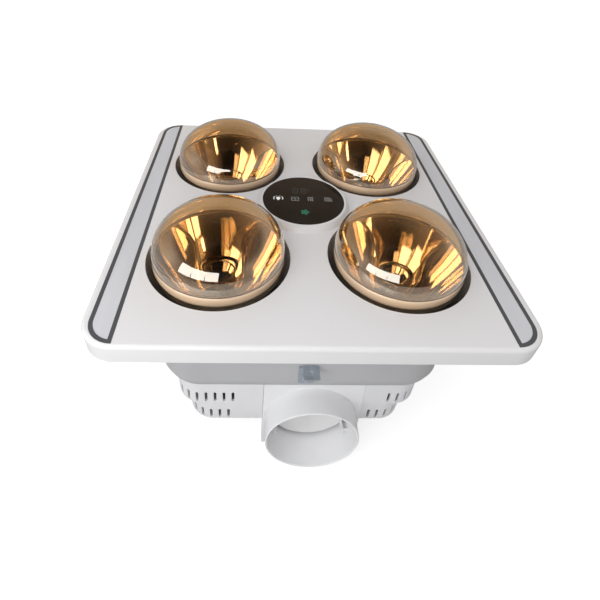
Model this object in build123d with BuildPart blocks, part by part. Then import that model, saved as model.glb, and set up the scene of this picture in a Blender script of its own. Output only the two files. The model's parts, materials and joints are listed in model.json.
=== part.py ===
from build123d import *
import math
import os

os.makedirs("parts", exist_ok=True)

# Bathroom ceiling heater with four infrared lamps, two light strips and a ducted extractor fan.
# It stands on its fan casing with the face up. X is to the right, Y goes away from the duct side,
# and depths are counted down from the top of the face.

# Ducting, whose size and the box's depth set how high the face stands over the base
spigot_dia = 100.0
spigot_wall = 2.0
spigot_axis_x = 14.0
spigot_box_gap = 6.0
spigot_reach = 28.0

# Lamps and the light strips beside them, which together set the size of the face
lamp_hole_dia = 136.0
lamp_pitch = 172.0
strip_lamp_gap = 6.0
strip_width = 23.3
strip_edge_gap = 6.7
strip_end_gap = 3.5
strip_inner_x = lamp_pitch / 2 + lamp_hole_dia / 2 + strip_lamp_gap
strip_outer_x = strip_inner_x + strip_width
strip_trim = 3.5
strip_proud = 0.2
strip_tray_depth = 10.2
strip_tray_wall = 1.4
strip_fit = 0.15
diffuser_thickness = 2.2
led_board_sheet = 1.6
led_count = 14
led_size = 3.0
led_height = 1.0

# Face panel
face_size = 2 * (strip_outer_x + strip_edge_gap)
strip_half_length = face_size / 2 - strip_end_gap
face_corner = 30.0
face_plate = 3.0
face_edge_radius = 3.5
skirt_depth = 19.5
skirt_wall = 2.5
skirt_draft = 1.7

# Infrared lamps
lamp_dia = 125.0
lamp_rise = 52.0
lamp_rim_rise = 8.0
lamp_rim_band = 14.0
lamp_length = 183.0
lamp_neck_dia = 38.0
lamp_glass_wall = 1.2
cap_dia = 26.2
cap_length = 27.0
cap_wall = 0.4
cap_contact_dia = 10.0
cap_contact_height = 2.0
cap_collar = 6.0
filament_ring_dia = 30.0
filament_wire_dia = 1.8
stem_dia = 7.0
stem_head_depth = 46.0
filament_depth = 20.0

# Reflector cups and their chassis plate
cup_rim_dia = 137.0
cup_rim_depth = 5.0
cup_neck_dia = 49.0
cup_wall = 0.8
cup_foot_dia = 60.0
chassis_depth = 96.0
chassis_sheet = 1.2
chassis_margin = 0.8

# Lampholders and the straps that carry them
holder_dia = 36.0
holder_height = 42.0
holder_above_cap = 1.0
holder_bore_clearance = 0.15
strap_sheet = 1.2
strap_width = 14.0
strap_gap = 1.0
strap_foot = 16.0

# Display on its raised boss, as large as the lamp holes leave room for
boss_lamp_gap = 2.1
boss_taper = 4.3
boss_chamfer = 1.4
boss_rise = 7.0
boss_base_dia = 2 * (lamp_pitch / math.sqrt(2) - lamp_hole_dia / 2 - boss_lamp_gap)
boss_top_dia = boss_base_dia - 2 * boss_taper
lens_margin = 2.2
lens_dia = boss_top_dia - 2 * lens_margin
lens_thickness = 2.4
lens_fit = 0.15
lens_ledge = 3.0
ledge_thickness = 2.0
board_margin = 0.7
board_dia = lens_dia - 2 * board_margin
board_sheet = 1.6
digit_width = 26.0
digit_depth = 12.0
digit_height = 1.9
digit_y = 16.0

# Ceiling box: half width at its foot, set back on the duct side, and how it widens upwards
box_half = 133.0
box_front = 122.0
box_corner = 28.0
box_wall = 2.0
box_foot_depth = 144.0
box_bend = ((136.5, 5.0), (128.5, 9.3), (120.0, 12.5), (86.0, 12.5))
box_cup_gap = 3.5
box_top_half = lamp_pitch / 2 + cup_rim_dia / 2 + box_cup_gap
box_top_depth = 11.0
box_top_corner = 44.0
box_flange = 10.0
box_flange_sheet = 2.0
box_floor_rim = 18.0
box_floor_corner = 12.0
joint_inset = 9.0
joint_side_ys = (-25.0, 40.0)
joint_back_xs = (-60.0, 60.0)
joint_front_xs = (-75.0, 95.0)
pillar_dia = 8.0
pillar_inset = 12.5
pillar_x = box_half - pillar_inset
pillar_ys = (-50.0, 70.0)

# Vented lower housing in two steps
step_height = 34.0
step_depth = box_foot_depth + step_height
step_draft = 1.7
tail_half = 123.0
tail_front = 119.5
tail_corner = 30.0
tail_height = 34.0
tail_depth = step_depth + tail_height
tail_draft = 2.7
housing_wall = 2.2
slot_width = 3.0
slot_height = 16.5
slot_pitch = 9.5
slot_foot = 2.5
upper_slot_low = step_depth - slot_foot
lower_slot_low = tail_depth - slot_foot
upper_slot_left = 71.0
upper_slot_right = 97.0
lower_slot_left = 76.0
lower_slot_right = 80.0
upper_slots = 7
lower_slots = 6
joint_boss_dia = 13.0
joint_boss_height = 14.5

# Duct adaptor and its back-draught flap
panel_sheet = 2.5
panel_left = 38.5
panel_margin = 5.0
panel_gap = 0.3
seat_plate = 2.0
seat_dia = 84.0
flap_dia = 88.0
flap_sheet = 1.4
flap_seat_gap = 0.2
flap_pivot_drop = 20.0
flap_pivot_forward = 10.8
flap_notch = 4.0
flap_pin_dia = 2.4
flap_pin_clearance = 0.05
flap_arm_width = 2.4
flap_arm_height = 6.0
flap_arm_offset = 36.2

# Fan casing: the volute is drawn with arcs whose centres step round a small square
fan_x = -27.0
fan_y = -5.0
volute_growth = 8.5
volute_right_x = 61.0
volute_left_x = -34.0
volute_mouth_y = -111.0
casing_wall = 2.2
casing_floor = 2.5
casing_height = 96.0
cover_sheet = 2.0
casing_flange = 6.0
casing_flange_sheet = 2.5
casing_gap = 0.5
inlet_dia = 88.0
inlet_wall = 1.6
inlet_drop = 12.0
inlet_lip = 5.0

# Fan wheel and motor
wheel_dia = 116.0
wheel_eye_dia = 96.0
wheel_bottom = 14.0
wheel_top = 84.0
wheel_disc = 1.6
wheel_blades = 36
blade_thickness = 1.2
blade_bow = 2.12
blade_sunk = 0.4
dome_dia = 68.0
dome_height = 47.0
dome_wall = 1.6
wheel_hub_dia = 18.0
wheel_hub_height = 15.0
grommet_dia = 12.0
grommet_height = 5.5
grommet_circle = 22.0
grommet_bore_dia = 4.4
motor_dia = 60.0
motor_wall = 1.5
motor_height = 34.0
motor_boss_dia = 20.0
motor_boss_height = 6.0
motor_nose = 4.0
motor_stud_dia = 4.0
motor_stud_length = 4.5
stator_dia = 56.6
stator_bore = 34.0
stator_height = 19.0
coil_dia = 53.0
coil_bore = 37.0
coil_height = 3.0
rotor_dia = 33.0
rotor_height = 19.0
shaft_dia = 8.0
bush_dia = 16.0
bush_height = 6.0
running_clearance = 0.05
fit_clearance = 0.02
fastener_count = 3

# Ceiling clamp brackets, one on each side, sliding on a slot
bracket_sheet = 1.5
bracket_width = 16.0
bracket_leg = 24.0
bracket_tab = 14.0
bracket_tab_width = 15.6
bracket_tab_shift = 3.3
bracket_top_depth = 95.0
bracket_seat_gap = 0.2
bracket_slot_width = 4.6
bracket_slot_length = 17.0
bracket_hole_dia = 4.6
bracket_front_x = 2.3
bracket_boss_dia = 9.0
bracket_boss_length = 4.0

# Screws
screw_dia = 4.0
screw_clearance = 0.1
screw_head_dia = 7.6
screw_head_height = 2.6
screw_length = 9.0
small_screw_dia = 3.0
small_head_dia = 5.6
small_head_height = 2.0

# Terminal box on the back of the housing
terminal_width = 80.0
terminal_left = -45.0
terminal_reach = 28.0
terminal_drop = 2.0
terminal_top_depth = box_foot_depth + terminal_drop
terminal_height = 25.0
terminal_wall = 2.0
terminal_seat_gap = 0.1
terminal_ways = 5
terminal_way_pitch = 10.0
terminal_block_depth = 16.0
terminal_block_height = 14.0
gland_dia = 16.0
gland_bore_dia = 8.4
gland_length = 14.0
gland_flange_dia = 20.0
gland_flange_sheet = 2.5

# Control board beside the left lamps
control_inset = 33.0
control_x = control_inset - box_half
control_plug_width = 9.0
control_plug_length = 46.0
control_width = 66.0
control_length = 56.0
control_sheet = 1.6
control_standoff = 4.0
control_standoff_dia = 6.0
relay_length = 19.0
relay_width = 15.0
relay_height = 15.0
relay_pitch = 17.5

# Height of the face over the bench that the spigot's underside touches
spigot_axis_depth = box_foot_depth + spigot_box_gap + spigot_dia / 2
face_height = spigot_dia / 2 + spigot_axis_depth


def level(depth):
    """Height over the base of a depth below the face."""
    return face_height - depth


def upright(place):
    """Plane through an upright axis: its x is the radius and its y is the height over the base."""
    return Plane(origin=(place[0], place[1], 0), x_dir=(1, 0, 0), z_dir=(0, -1, 0))


def upright_axis(place):
    return Axis((place[0], place[1], 0), (0, 0, 1))


def ring(place, outer_dia, bore_dia, low, high):
    """A plain ring or, with no bore, a disc about an upright axis."""
    with BuildPart() as body:
        with BuildSketch(Plane((place[0], place[1], low))):
            Circle(outer_dia / 2)
            if bore_dia:
                Circle(bore_dia / 2, mode=Mode.SUBTRACT)
        extrude(amount=high - low)
    return body.part


def save(part, name):
    part.label = name
    export_step(part, f"parts/{name}.step")


half_pitch = lamp_pitch / 2
lamp_places = {
    "front_left": (-half_pitch, -half_pitch),
    "front_right": (half_pitch, -half_pitch),
    "back_left": (-half_pitch, half_pitch),
    "back_right": (half_pitch, half_pitch),
}

lamp_top = face_height + lamp_rise
lamp_rim_top = face_height + lamp_rim_rise
cap_bottom = lamp_top - lamp_length
cap_top = cap_bottom + cap_length
holder_top = cap_top - holder_above_cap
holder_bottom = holder_top - holder_height
chassis_top = level(chassis_depth)
spigot_radius = spigot_dia / 2
spigot_bore = spigot_radius - spigot_wall
spigot_axis_z = spigot_radius
mouth_y = -box_front - spigot_reach
duct_plane = Plane(origin=(spigot_axis_x, 0, spigot_axis_z), x_dir=(1, 0, 0), z_dir=(0, -1, 0))

# Face panel: a shallow tray, drafted inwards towards its rim
flange_screw_xs = (-120.0, -40.0, 40.0, 120.0)
flange_screw_y = box_top_half + box_flange / 2
flange_screw_places = [(x, y) for x in flange_screw_xs for y in (-flange_screw_y, flange_screw_y)]


def strip_face(side, inset):
    """D-shaped outline of a light strip: straight inside, quarter-round outer corners."""
    radius = strip_outer_x - strip_inner_x
    centre_y = strip_half_length - radius
    turn = math.degrees(math.acos(inset / (radius - inset)))
    inner_x = strip_inner_x + inset
    outer_x = strip_outer_x - inset
    end_y = centre_y + math.sqrt((radius - inset) ** 2 - inset**2)
    with BuildSketch() as outline:
        with BuildLine():
            Line((inner_x, -end_y), (inner_x, end_y))
            CenterArc((strip_inner_x, centre_y), radius - inset, 0, turn)
            Line((outer_x, -centre_y), (outer_x, centre_y))
            CenterArc((strip_inner_x, -centre_y), radius - inset, 0, -turn)
        make_face()
    return outline.sketch if side > 0 else mirror(outline.sketch, Plane.YZ, mode=Mode.PRIVATE)


strip_holes = [strip_face(side, 0.0) for side in (-1, 1)]
with BuildPart() as fascia:
    with BuildSketch(Plane.XY.offset(level(skirt_depth))):
        rim_size = face_size - 2 * skirt_draft
        RectangleRounded(rim_size, rim_size, face_corner - skirt_draft)
    with BuildSketch(Plane.XY.offset(face_height)):
        RectangleRounded(face_size, face_size, face_corner)
    loft(ruled=True)
    fillet(fascia.edges().group_by(Axis.Z)[-1], face_edge_radius)
    inner_size = face_size - 2 * skirt_wall
    inner_corner = face_corner - skirt_wall
    with BuildSketch(Plane.XY.offset(level(skirt_depth))):
        rim_size = inner_size - 2 * skirt_draft
        RectangleRounded(rim_size, rim_size, inner_corner - skirt_draft)
    with BuildSketch(Plane.XY.offset(level(face_plate))):
        RectangleRounded(inner_size, inner_size, inner_corner)
    loft(ruled=True, mode=Mode.SUBTRACT)
    with BuildSketch(Plane.XY.offset(level(face_plate))):
        with GridLocations(lamp_pitch, lamp_pitch, 2, 2):
            Circle(lamp_hole_dia / 2)
        Circle(board_dia / 2 + lens_fit)
        for hole in strip_holes:
            add(hole)
    extrude(amount=face_plate, mode=Mode.SUBTRACT)
    with BuildSketch(Plane.XZ):
        with BuildLine():
            Polyline(
                (boss_base_dia / 2, level(face_plate)),
                (boss_base_dia / 2, face_height),
                (boss_top_dia / 2 + boss_chamfer, face_height + boss_rise - boss_chamfer),
                (boss_top_dia / 2, face_height + boss_rise),
                (lens_dia / 2 + lens_fit, face_height + boss_rise),
                (lens_dia / 2 + lens_fit, face_height + boss_rise - lens_thickness),
                (lens_dia / 2 - lens_ledge, face_height + boss_rise - lens_thickness),
                (lens_dia / 2 - lens_ledge, face_height + boss_rise - lens_thickness - ledge_thickness),
                (board_dia / 2 + lens_fit, face_height + boss_rise - lens_thickness - ledge_thickness),
                (board_dia / 2 + lens_fit, level(face_plate)),
                close=True,
            )
        make_face()
    revolve(axis=Axis.Z)
    with BuildSketch(Plane.XY.offset(level(box_top_depth))):
        with Locations(*flange_screw_places):
            Circle(pillar_dia / 2)
    extrude(amount=box_top_depth - face_plate)
    with BuildSketch(Plane.XY.offset(level(box_top_depth))):
        with Locations(*flange_screw_places):
            Circle(screw_dia / 2 + screw_clearance)
    extrude(amount=screw_length - box_flange_sheet, mode=Mode.SUBTRACT)
save(fascia.part, "fascia")

# Display: black lens in the boss, circuit board under its ledge, two-digit module between them
lens_top = face_height + boss_rise
with BuildPart() as display_lens:
    with BuildSketch(Plane.XY.offset(lens_top - lens_thickness)):
        Circle(lens_dia / 2)
    extrude(amount=lens_thickness)
    chamfer(display_lens.edges().group_by(Axis.Z)[-1], 0.3)
save(display_lens.part, "display_lens")

board_top = lens_top - lens_thickness - ledge_thickness
icon_row_y = -4.0
icon_pitch = 17.0
with BuildPart() as display_board:
    with BuildSketch(Plane.XY.offset(board_top - board_sheet)):
        Circle(board_dia / 2)
    extrude(amount=board_sheet)
    with BuildSketch(Plane.XY.offset(board_top)):
        with GridLocations(icon_pitch, 1, 4, 1):
            with Locations((0, icon_row_y)):
                Rectangle(led_size, led_size)
        with Locations((0, -22)):
            Rectangle(2 * led_size, 2 * led_size)
    extrude(amount=led_height)
    with BuildSketch(Plane.XY.offset(board_top - board_sheet)):
        with Locations((-20, 8), (20, 8)):
            Rectangle(14, 10)
        with Locations((0, -16)):
            Rectangle(12, 12)
    extrude(amount=-2.0)
save(display_board.part, "display_board")

with BuildPart() as digit_module:
    with BuildSketch(Plane.XY.offset(board_top)):
        with Locations((0, digit_y)):
            Rectangle(digit_width, digit_depth)
    extrude(amount=digit_height)
save(digit_module.part, "digit_module")

# Light strips: a dark tray let into the face, a diffuser on its step, a board of diodes on its floor
tray_top = face_height + strip_proud
tray_bottom = level(strip_tray_depth)
tray_floor_top = tray_bottom + strip_tray_wall
diffuser_bottom = tray_top - strip_proud - diffuser_thickness
for side, side_name in ((-1, "left"), (1, "right")):
    outer = strip_face(side, strip_fit)
    step = strip_face(side, strip_trim)
    cavity = strip_face(side, strip_trim + strip_tray_wall)
    diffuser_outline = strip_face(side, strip_trim + strip_fit)
    board_outline = strip_face(side, strip_trim + strip_tray_wall + strip_fit)

    with BuildPart() as led_bezel:
        with BuildSketch(Plane.XY.offset(tray_bottom)):
            add(outer)
        extrude(amount=tray_top - tray_bottom)
        with BuildSketch(Plane.XY.offset(diffuser_bottom)):
            add(step)
        extrude(amount=tray_top - diffuser_bottom, mode=Mode.SUBTRACT)
        with BuildSketch(Plane.XY.offset(tray_floor_top)):
            add(cavity)
        extrude(amount=diffuser_bottom - tray_floor_top, mode=Mode.SUBTRACT)
    save(led_bezel.part, f"led_bezel_{side_name}")

    with BuildPart() as led_diffuser:
        with BuildSketch(Plane.XY.offset(diffuser_bottom)):
            add(diffuser_outline)
        extrude(amount=diffuser_thickness)
    save(led_diffuser.part, f"led_diffuser_{side_name}")

    strip_mid_x = side * (strip_inner_x + strip_outer_x) / 2
    led_span = 2 * (strip_half_length - strip_outer_x + strip_inner_x)
    with BuildPart() as led_board:
        with BuildSketch(Plane.XY.offset(tray_floor_top)):
            add(board_outline)
        extrude(amount=led_board_sheet)
        with BuildSketch(Plane.XY.offset(tray_floor_top + led_board_sheet)):
            with Locations((strip_mid_x, 0)):
                with GridLocations(1, led_span / (led_count - 1), 1, led_count):
                    Rectangle(led_size, led_size)
        extrude(amount=led_height)
    save(led_board.part, f"led_board_{side_name}")


def lamp_shape(place, inset):
    """Bulb of a blown infrared lamp: elliptical dome, straight rim band, cone and neck."""
    radius = lamp_dia / 2 - inset
    neck = lamp_neck_dia / 2 - inset
    throat = cap_dia / 2 - cap_wall - running_clearance - inset
    band_bottom = lamp_rim_top - lamp_rim_band
    neck_top = cap_top + 22.0
    throat_top = cap_top + 1.0
    throat_bottom = cap_top - cap_collar
    with BuildPart() as bulb:
        with BuildSketch(upright(place)):
            with BuildLine():
                Spline(
                    (radius, lamp_rim_top),
                    (0.71 * radius, lamp_rim_top + 0.72 * (lamp_top - inset - lamp_rim_top)),
                    (0, lamp_top - inset),
                    tangents=((0, 1), (-1, 0)),
                )
                Line((radius, lamp_rim_top), (radius, band_bottom))
                Spline(
                    (radius, band_bottom),
                    ((radius + neck) / 2 + 2.0, (band_bottom + neck_top) / 2),
                    (neck, neck_top),
                    tangents=((0, -1), (-0.15, -1)),
                )
                Line((neck, neck_top), (throat, throat_top))
                Line((throat, throat_top), (throat, throat_bottom))
                Line((throat, throat_bottom), (0, throat_bottom))
                Line((0, throat_bottom), (0, lamp_top - inset))
            make_face()
        revolve(axis=upright_axis(place))
    return bulb.part


def cup_points(inset):
    """Profile of a reflector cup from rim to neck, as radius and height."""
    rim = cup_rim_dia / 2 - inset
    neck = cup_neck_dia / 2 - inset
    top = level(cup_rim_depth)
    bottom = chassis_top + cup_wall
    waist = ((rim + neck) / 2 + 4.0, (top + bottom) / 2)
    return (rim, top), waist, (neck, bottom)


for name, place in lamp_places.items():
    bulb = lamp_shape(place, 0.0)
    hollow = lamp_shape(place, lamp_glass_wall)
    throat_bore = ring(place, cap_dia - 2 * (cap_wall + running_clearance + lamp_glass_wall), 0,
                       cap_top - cap_collar, cap_top)
    with BuildPart() as lamp_glass:
        add(bulb)
        add(hollow, mode=Mode.SUBTRACT)
        add(throat_bore, mode=Mode.SUBTRACT)
    save(lamp_glass.part, f"lamp_glass_{name}")

    # Screw cap with rolled thread rings and an insulating cone at its foot
    shell_bottom = cap_bottom + cap_contact_height + 5.0
    contact_top = cap_bottom + cap_contact_height
    thread_pitch = 3.6
    thread_rings = 4
    thread_radius = 0.9
    thread_crests = [
        (cap_dia / 2 - thread_radius, shell_bottom + 1.6 + thread_pitch * i) for i in range(thread_rings)
    ]
    with BuildPart() as lamp_cap:
        with BuildSketch(upright(place)):
            with BuildLine():
                Polyline(
                    (0, contact_top),
                    (cap_contact_dia / 2 + 1.0, contact_top),
                    (cap_dia / 2 - 1.2, shell_bottom),
                    (cap_dia / 2 - 0.6, shell_bottom),
                    (cap_dia / 2 - 0.6, cap_top - cap_collar - 1.0),
                    (cap_dia / 2, cap_top - cap_collar - 1.0),
                    (cap_dia / 2, cap_top),
                    (cap_dia / 2 - cap_wall, cap_top),
                    (cap_dia / 2 - cap_wall, cap_top - cap_collar - running_clearance),
                    (cap_dia / 2 - 2.0, cap_top - cap_collar - running_clearance),
                    (cap_dia / 2 - 2.0, shell_bottom + 1.5),
                    (0, shell_bottom + 1.5),
                    close=True,
                )
            make_face()
            with Locations(*thread_crests):
                Circle(thread_radius)
        revolve(axis=upright_axis(place))
    save(lamp_cap.part, f"lamp_cap_{name}")

    with BuildPart() as lamp_contact:
        with BuildSketch(Plane((place[0], place[1], cap_bottom))):
            Circle(cap_contact_dia / 2)
        extrude(amount=cap_contact_height - running_clearance)
        fillet(lamp_contact.edges().group_by(Axis.Z)[0], 1.2)
    save(lamp_contact.part, f"lamp_contact_{name}")

    # Glass stem on the cap's floor with four support wires and the heating ring
    stem_foot = shell_bottom + 1.5 + running_clearance
    stem_head = level(stem_head_depth)
    filament_height = level(filament_depth)
    stem_flare_dia = 18.0
    wire_reach = filament_ring_dia / 2
    with BuildPart() as lamp_filament:
        with BuildSketch(upright(place)):
            with BuildLine():
                Polyline(
                    (0, stem_foot),
                    (stem_flare_dia / 2, stem_foot),
                    (stem_flare_dia / 2, stem_foot + 3.0),
                    (stem_dia / 2, stem_foot + 26.0),
                    (stem_dia / 2, stem_head),
                    (0, stem_head),
                    close=True,
                )
            make_face()
            with Locations((wire_reach, filament_height)):
                Circle(filament_wire_dia / 2)
        revolve(axis=upright_axis(place))
        for quarter in range(4):
            angle = math.radians(90 * quarter + 45)
            foot = Vector(place[0], place[1], stem_head - 3.0)
            tip = Vector(place[0] + wire_reach * math.cos(angle), place[1] + wire_reach * math.sin(angle),
                         filament_height)
            with BuildSketch(Plane(origin=foot, z_dir=tip - foot)):
                Circle(filament_wire_dia / 2)
            extrude(amount=(tip - foot).length)
    save(lamp_filament.part, f"lamp_filament_{name}")

    # Spun reflector cup on its foot ring, with a hem at the rim
    outer_rim, outer_waist, outer_neck = cup_points(-cup_wall)
    inner_rim, inner_waist, inner_neck = cup_points(0.0)
    with BuildPart() as reflector_cup:
        with BuildSketch(upright(place)):
            with BuildLine():
                Spline(inner_rim, inner_waist, inner_neck)
                Polyline(inner_neck, (inner_neck[0], chassis_top), (cup_foot_dia / 2, chassis_top),
                         (cup_foot_dia / 2, chassis_top + cup_wall), outer_neck)
                Spline(outer_neck, outer_waist, outer_rim)
                Line(outer_rim, inner_rim)
            make_face()
        revolve(axis=upright_axis(place))
    save(reflector_cup.part, f"reflector_cup_{name}")

    # Ceramic lampholder with a plain bore that clears the cap's thread
    holder_floor = cap_bottom - 0.3
    with BuildPart() as lampholder:
        with BuildSketch(Plane((place[0], place[1], holder_bottom))):
            Circle(holder_dia / 2)
        extrude(amount=holder_height)
        fillet(lampholder.edges().group_by(Axis.Z)[-1], 1.5)
        with BuildSketch(Plane((place[0], place[1], holder_floor))):
            Circle(cap_dia / 2 + holder_bore_clearance)
        extrude(amount=holder_top - holder_floor, mode=Mode.SUBTRACT)
        with BuildSketch(Plane((place[0], place[1], holder_bottom + 8.0))):
            Circle(holder_dia / 2)
            Circle(holder_dia / 2 - 1.5, mode=Mode.SUBTRACT)
        extrude(amount=4.0, mode=Mode.SUBTRACT)
    save(lampholder.part, f"lampholder_{name}")

# Straps: one bent strip for each holder, hung from the chassis plate
strap_half = holder_dia / 2 + strap_gap
strap_top = chassis_top - chassis_sheet
with BuildPart() as holder_straps:
    for place in lamp_places.values():
        strap_edge = (place[0], place[1] + strap_width / 2, 0)
        with BuildSketch(Plane(origin=strap_edge, x_dir=(1, 0, 0), z_dir=(0, -1, 0))):
            with BuildLine():
                Polyline(
                    (-strap_half - strap_foot, strap_top),
                    (-strap_half, strap_top),
                    (-strap_half, holder_bottom),
                    (strap_half, holder_bottom),
                    (strap_half, strap_top),
                    (strap_half + strap_foot, strap_top),
                    (strap_half + strap_foot, strap_top - strap_sheet),
                    (strap_half + strap_sheet, strap_top - strap_sheet),
                    (strap_half + strap_sheet, holder_bottom - strap_sheet),
                    (-strap_half - strap_sheet, holder_bottom - strap_sheet),
                    (-strap_half - strap_sheet, strap_top - strap_sheet),
                    (-strap_half - strap_foot, strap_top - strap_sheet),
                    close=True,
                )
            make_face()
        extrude(amount=strap_width)
save(holder_straps.part, "holder_straps")


def box_section(depth, side, front, inset):
    """Rounded rectangle of the ceiling box at a depth, widened by side and front offsets."""
    half = box_half + side - inset
    back = box_half + side - inset
    forward = box_front + front - inset
    corner = box_corner + side - inset
    with BuildSketch(Plane.XY.offset(level(depth))) as section:
        with Locations((0, (back - forward) / 2)):
            RectangleRounded(2 * half, back + forward, corner)
    return section.sketch


box_widening = box_top_half - box_half
box_front_widening = box_top_half - box_front
box_floor_top = box_foot_depth - box_wall
box_stations = [(box_foot_depth, 0.0, 0.0)]
box_stations += [(depth, offset, offset) for depth, offset in box_bend]
box_stations += [(box_top_depth, box_widening, box_front_widening)]
inner_stations = [(box_floor_top, 1.2, 1.2)] + box_stations[1:]
outer_sections = [box_section(*station, 0.0) for station in box_stations]
inner_sections = [box_section(*station, box_wall) for station in inner_stations]
wall_bend = box_bend[-1][1]
back_bracket_y = box_half + wall_bend
front_bracket_y = box_front + wall_bend
side_bracket_x = box_half + wall_bend
house_mid_y = (box_half - box_front) / 2
pillar_places = [(x, y) for x in (-pillar_x, pillar_x) for y in pillar_ys]

# Where each bracket stands on the box wall: plane with x along the wall and z pointing outwards
bracket_screw_depth = bracket_top_depth + bracket_sheet + bracket_leg / 2
bracket_seats = {
    "front": Plane(origin=(bracket_front_x, -front_bracket_y, level(bracket_screw_depth)),
                   x_dir=(1, 0, 0), z_dir=(0, -1, 0)),
    "back": Plane(origin=(0, back_bracket_y, level(bracket_screw_depth)), x_dir=(-1, 0, 0), z_dir=(0, 1, 0)),
    "left": Plane(origin=(-side_bracket_x, house_mid_y, level(bracket_screw_depth)),
                  x_dir=(0, -1, 0), z_dir=(-1, 0, 0)),
    "right": Plane(origin=(side_bracket_x, house_mid_y, level(bracket_screw_depth)),
                   x_dir=(0, 1, 0), z_dir=(1, 0, 0)),
}
joint_x = box_half - joint_inset
joint_screw_places = [(side * joint_x, y) for side in (-1, 1) for y in joint_side_ys]
joint_screw_places += [(x, box_half - joint_inset) for x in joint_back_xs]
joint_screw_places += [(x, joint_inset - box_front) for x in joint_front_xs]

with BuildPart() as ceiling_box:
    loft(outer_sections, ruled=True)
    with BuildSketch(Plane.XY.offset(level(box_top_depth))):
        RectangleRounded(
            2 * (box_top_half + box_flange), 2 * (box_top_half + box_flange), box_top_corner + box_flange
        )
    extrude(amount=-box_flange_sheet)
    loft(inner_sections, ruled=True, mode=Mode.SUBTRACT)
    with BuildSketch(Plane.XY.offset(level(box_foot_depth))):
        with Locations((0, house_mid_y)):
            RectangleRounded(
                2 * (box_half - box_floor_rim), box_half + box_front - 2 * box_floor_rim, box_floor_corner
            )
    extrude(amount=box_wall, mode=Mode.SUBTRACT)
    with BuildSketch(Plane.XY.offset(level(box_floor_top))):
        with Locations(*pillar_places):
            Circle(pillar_dia / 2)
    extrude(amount=box_floor_top - chassis_depth - chassis_sheet)
    with BuildSketch(Plane.XY.offset(chassis_top - chassis_sheet)):
        with Locations(*pillar_places):
            Circle(small_screw_dia / 2 + screw_clearance)
    extrude(amount=-screw_length, mode=Mode.SUBTRACT)
    with BuildSketch(Plane.XY.offset(level(box_foot_depth))):
        with Locations(*joint_screw_places):
            Circle(screw_dia / 2 + screw_clearance)
    extrude(amount=box_wall, mode=Mode.SUBTRACT)
    with BuildSketch(Plane.XY.offset(level(box_top_depth))):
        with Locations(*flange_screw_places):
            Circle(screw_dia / 2 + screw_clearance)
    extrude(amount=-box_flange_sheet, mode=Mode.SUBTRACT)
    for seat in bracket_seats.values():
        with BuildSketch(seat.offset(-box_wall)):
            Circle(bracket_boss_dia / 2)
        extrude(amount=-bracket_boss_length)
        with BuildSketch(seat):
            Circle(screw_dia / 2 + screw_clearance)
        extrude(amount=-box_wall - bracket_boss_length, mode=Mode.SUBTRACT)
save(ceiling_box.part, "ceiling_box")

# Chassis plate on the box's pillars: lamp necks, air way, screws and the straps' fixings
chassis_half = box_half + wall_bend - box_wall - chassis_margin
chassis_front = box_front + wall_bend - box_wall - chassis_margin
chassis_corner = box_corner + wall_bend - box_wall - chassis_margin
air_way_dia = 100.0
standoff_places = [
    (control_x + side * (control_width / 2 - 5), end * (control_length / 2 - 5))
    for side in (-1, 1)
    for end in (-1, 1)
]
with BuildPart() as lamp_chassis:
    with BuildSketch(Plane.XY.offset(chassis_top - chassis_sheet)):
        with Locations((0, (chassis_half - chassis_front) / 2)):
            RectangleRounded(2 * chassis_half, chassis_half + chassis_front, chassis_corner)
        with Locations(*lamp_places.values()):
            Circle(cup_neck_dia / 2, mode=Mode.SUBTRACT)
        Circle(air_way_dia / 2, mode=Mode.SUBTRACT)
        with Locations(*pillar_places):
            Circle(small_screw_dia / 2 + screw_clearance, mode=Mode.SUBTRACT)
    extrude(amount=chassis_sheet)
    with BuildSketch(Plane.XY.offset(chassis_top)):
        with Locations(*standoff_places):
            Circle(control_standoff_dia / 2)
    extrude(amount=control_standoff)
save(lamp_chassis.part, "lamp_chassis")

control_bottom = chassis_top + control_standoff
control_top = control_bottom + control_sheet
with BuildPart() as control_board:
    with BuildSketch(Plane.XY.offset(control_bottom)):
        with Locations((control_x, 0)):
            Rectangle(control_width, control_length)
    extrude(amount=control_sheet)
    with BuildSketch(Plane.XY.offset(control_top)):
        with Locations((control_x - 20, 0)):
            with GridLocations(1, relay_pitch, 1, 3):
                Rectangle(relay_length, relay_width)
    extrude(amount=relay_height)
    with BuildSketch(Plane.XY.offset(control_top)):
        with Locations((control_x + 6, 12)):
            Rectangle(20, 17)
    extrude(amount=16.0)
    with BuildSketch(Plane.XY.offset(control_top)):
        with Locations((control_x + 25, 0)):
            Rectangle(control_plug_width, control_plug_length)
    extrude(amount=11.0)
    with BuildSketch(Plane.XY.offset(control_top)):
        with Locations((control_x + 4, -14), (control_x + 13, -8)):
            Circle(4.0)
    extrude(amount=12.0)
save(control_board.part, "control_board")


def house_section(depth, half, front, corner, inset):
    """Rounded rectangle of the lower housing at a depth."""
    with BuildSketch(Plane.XY.offset(level(depth))) as section:
        with Locations((0, (half - front) / 2)):
            RectangleRounded(2 * (half - inset), half + front - 2 * inset, corner - inset)
    return section.sketch


def slot_planes(half, front, corner, start, count, side):
    """Planes square to the housing's outline for a row of slots that begins on the front and wraps round."""
    planes = []
    straight = half - corner - start
    arc = math.pi * corner / 2
    for i in range(count):
        run = i * slot_pitch
        if run <= straight:
            place, turn = (start + run, -front), 0.0
        elif run <= straight + arc:
            turn = (run - straight) / corner
            place = (half - corner + corner * math.sin(turn), corner - front - corner * math.cos(turn))
        else:
            turn = math.pi / 2
            place = (half, corner - front + run - straight - arc)
        outward = (side * math.sin(turn), -math.cos(turn), 0)
        along = (side * math.cos(turn), math.sin(turn), 0)
        planes.append((side * place[0], place[1], along, outward))
    return planes


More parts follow.
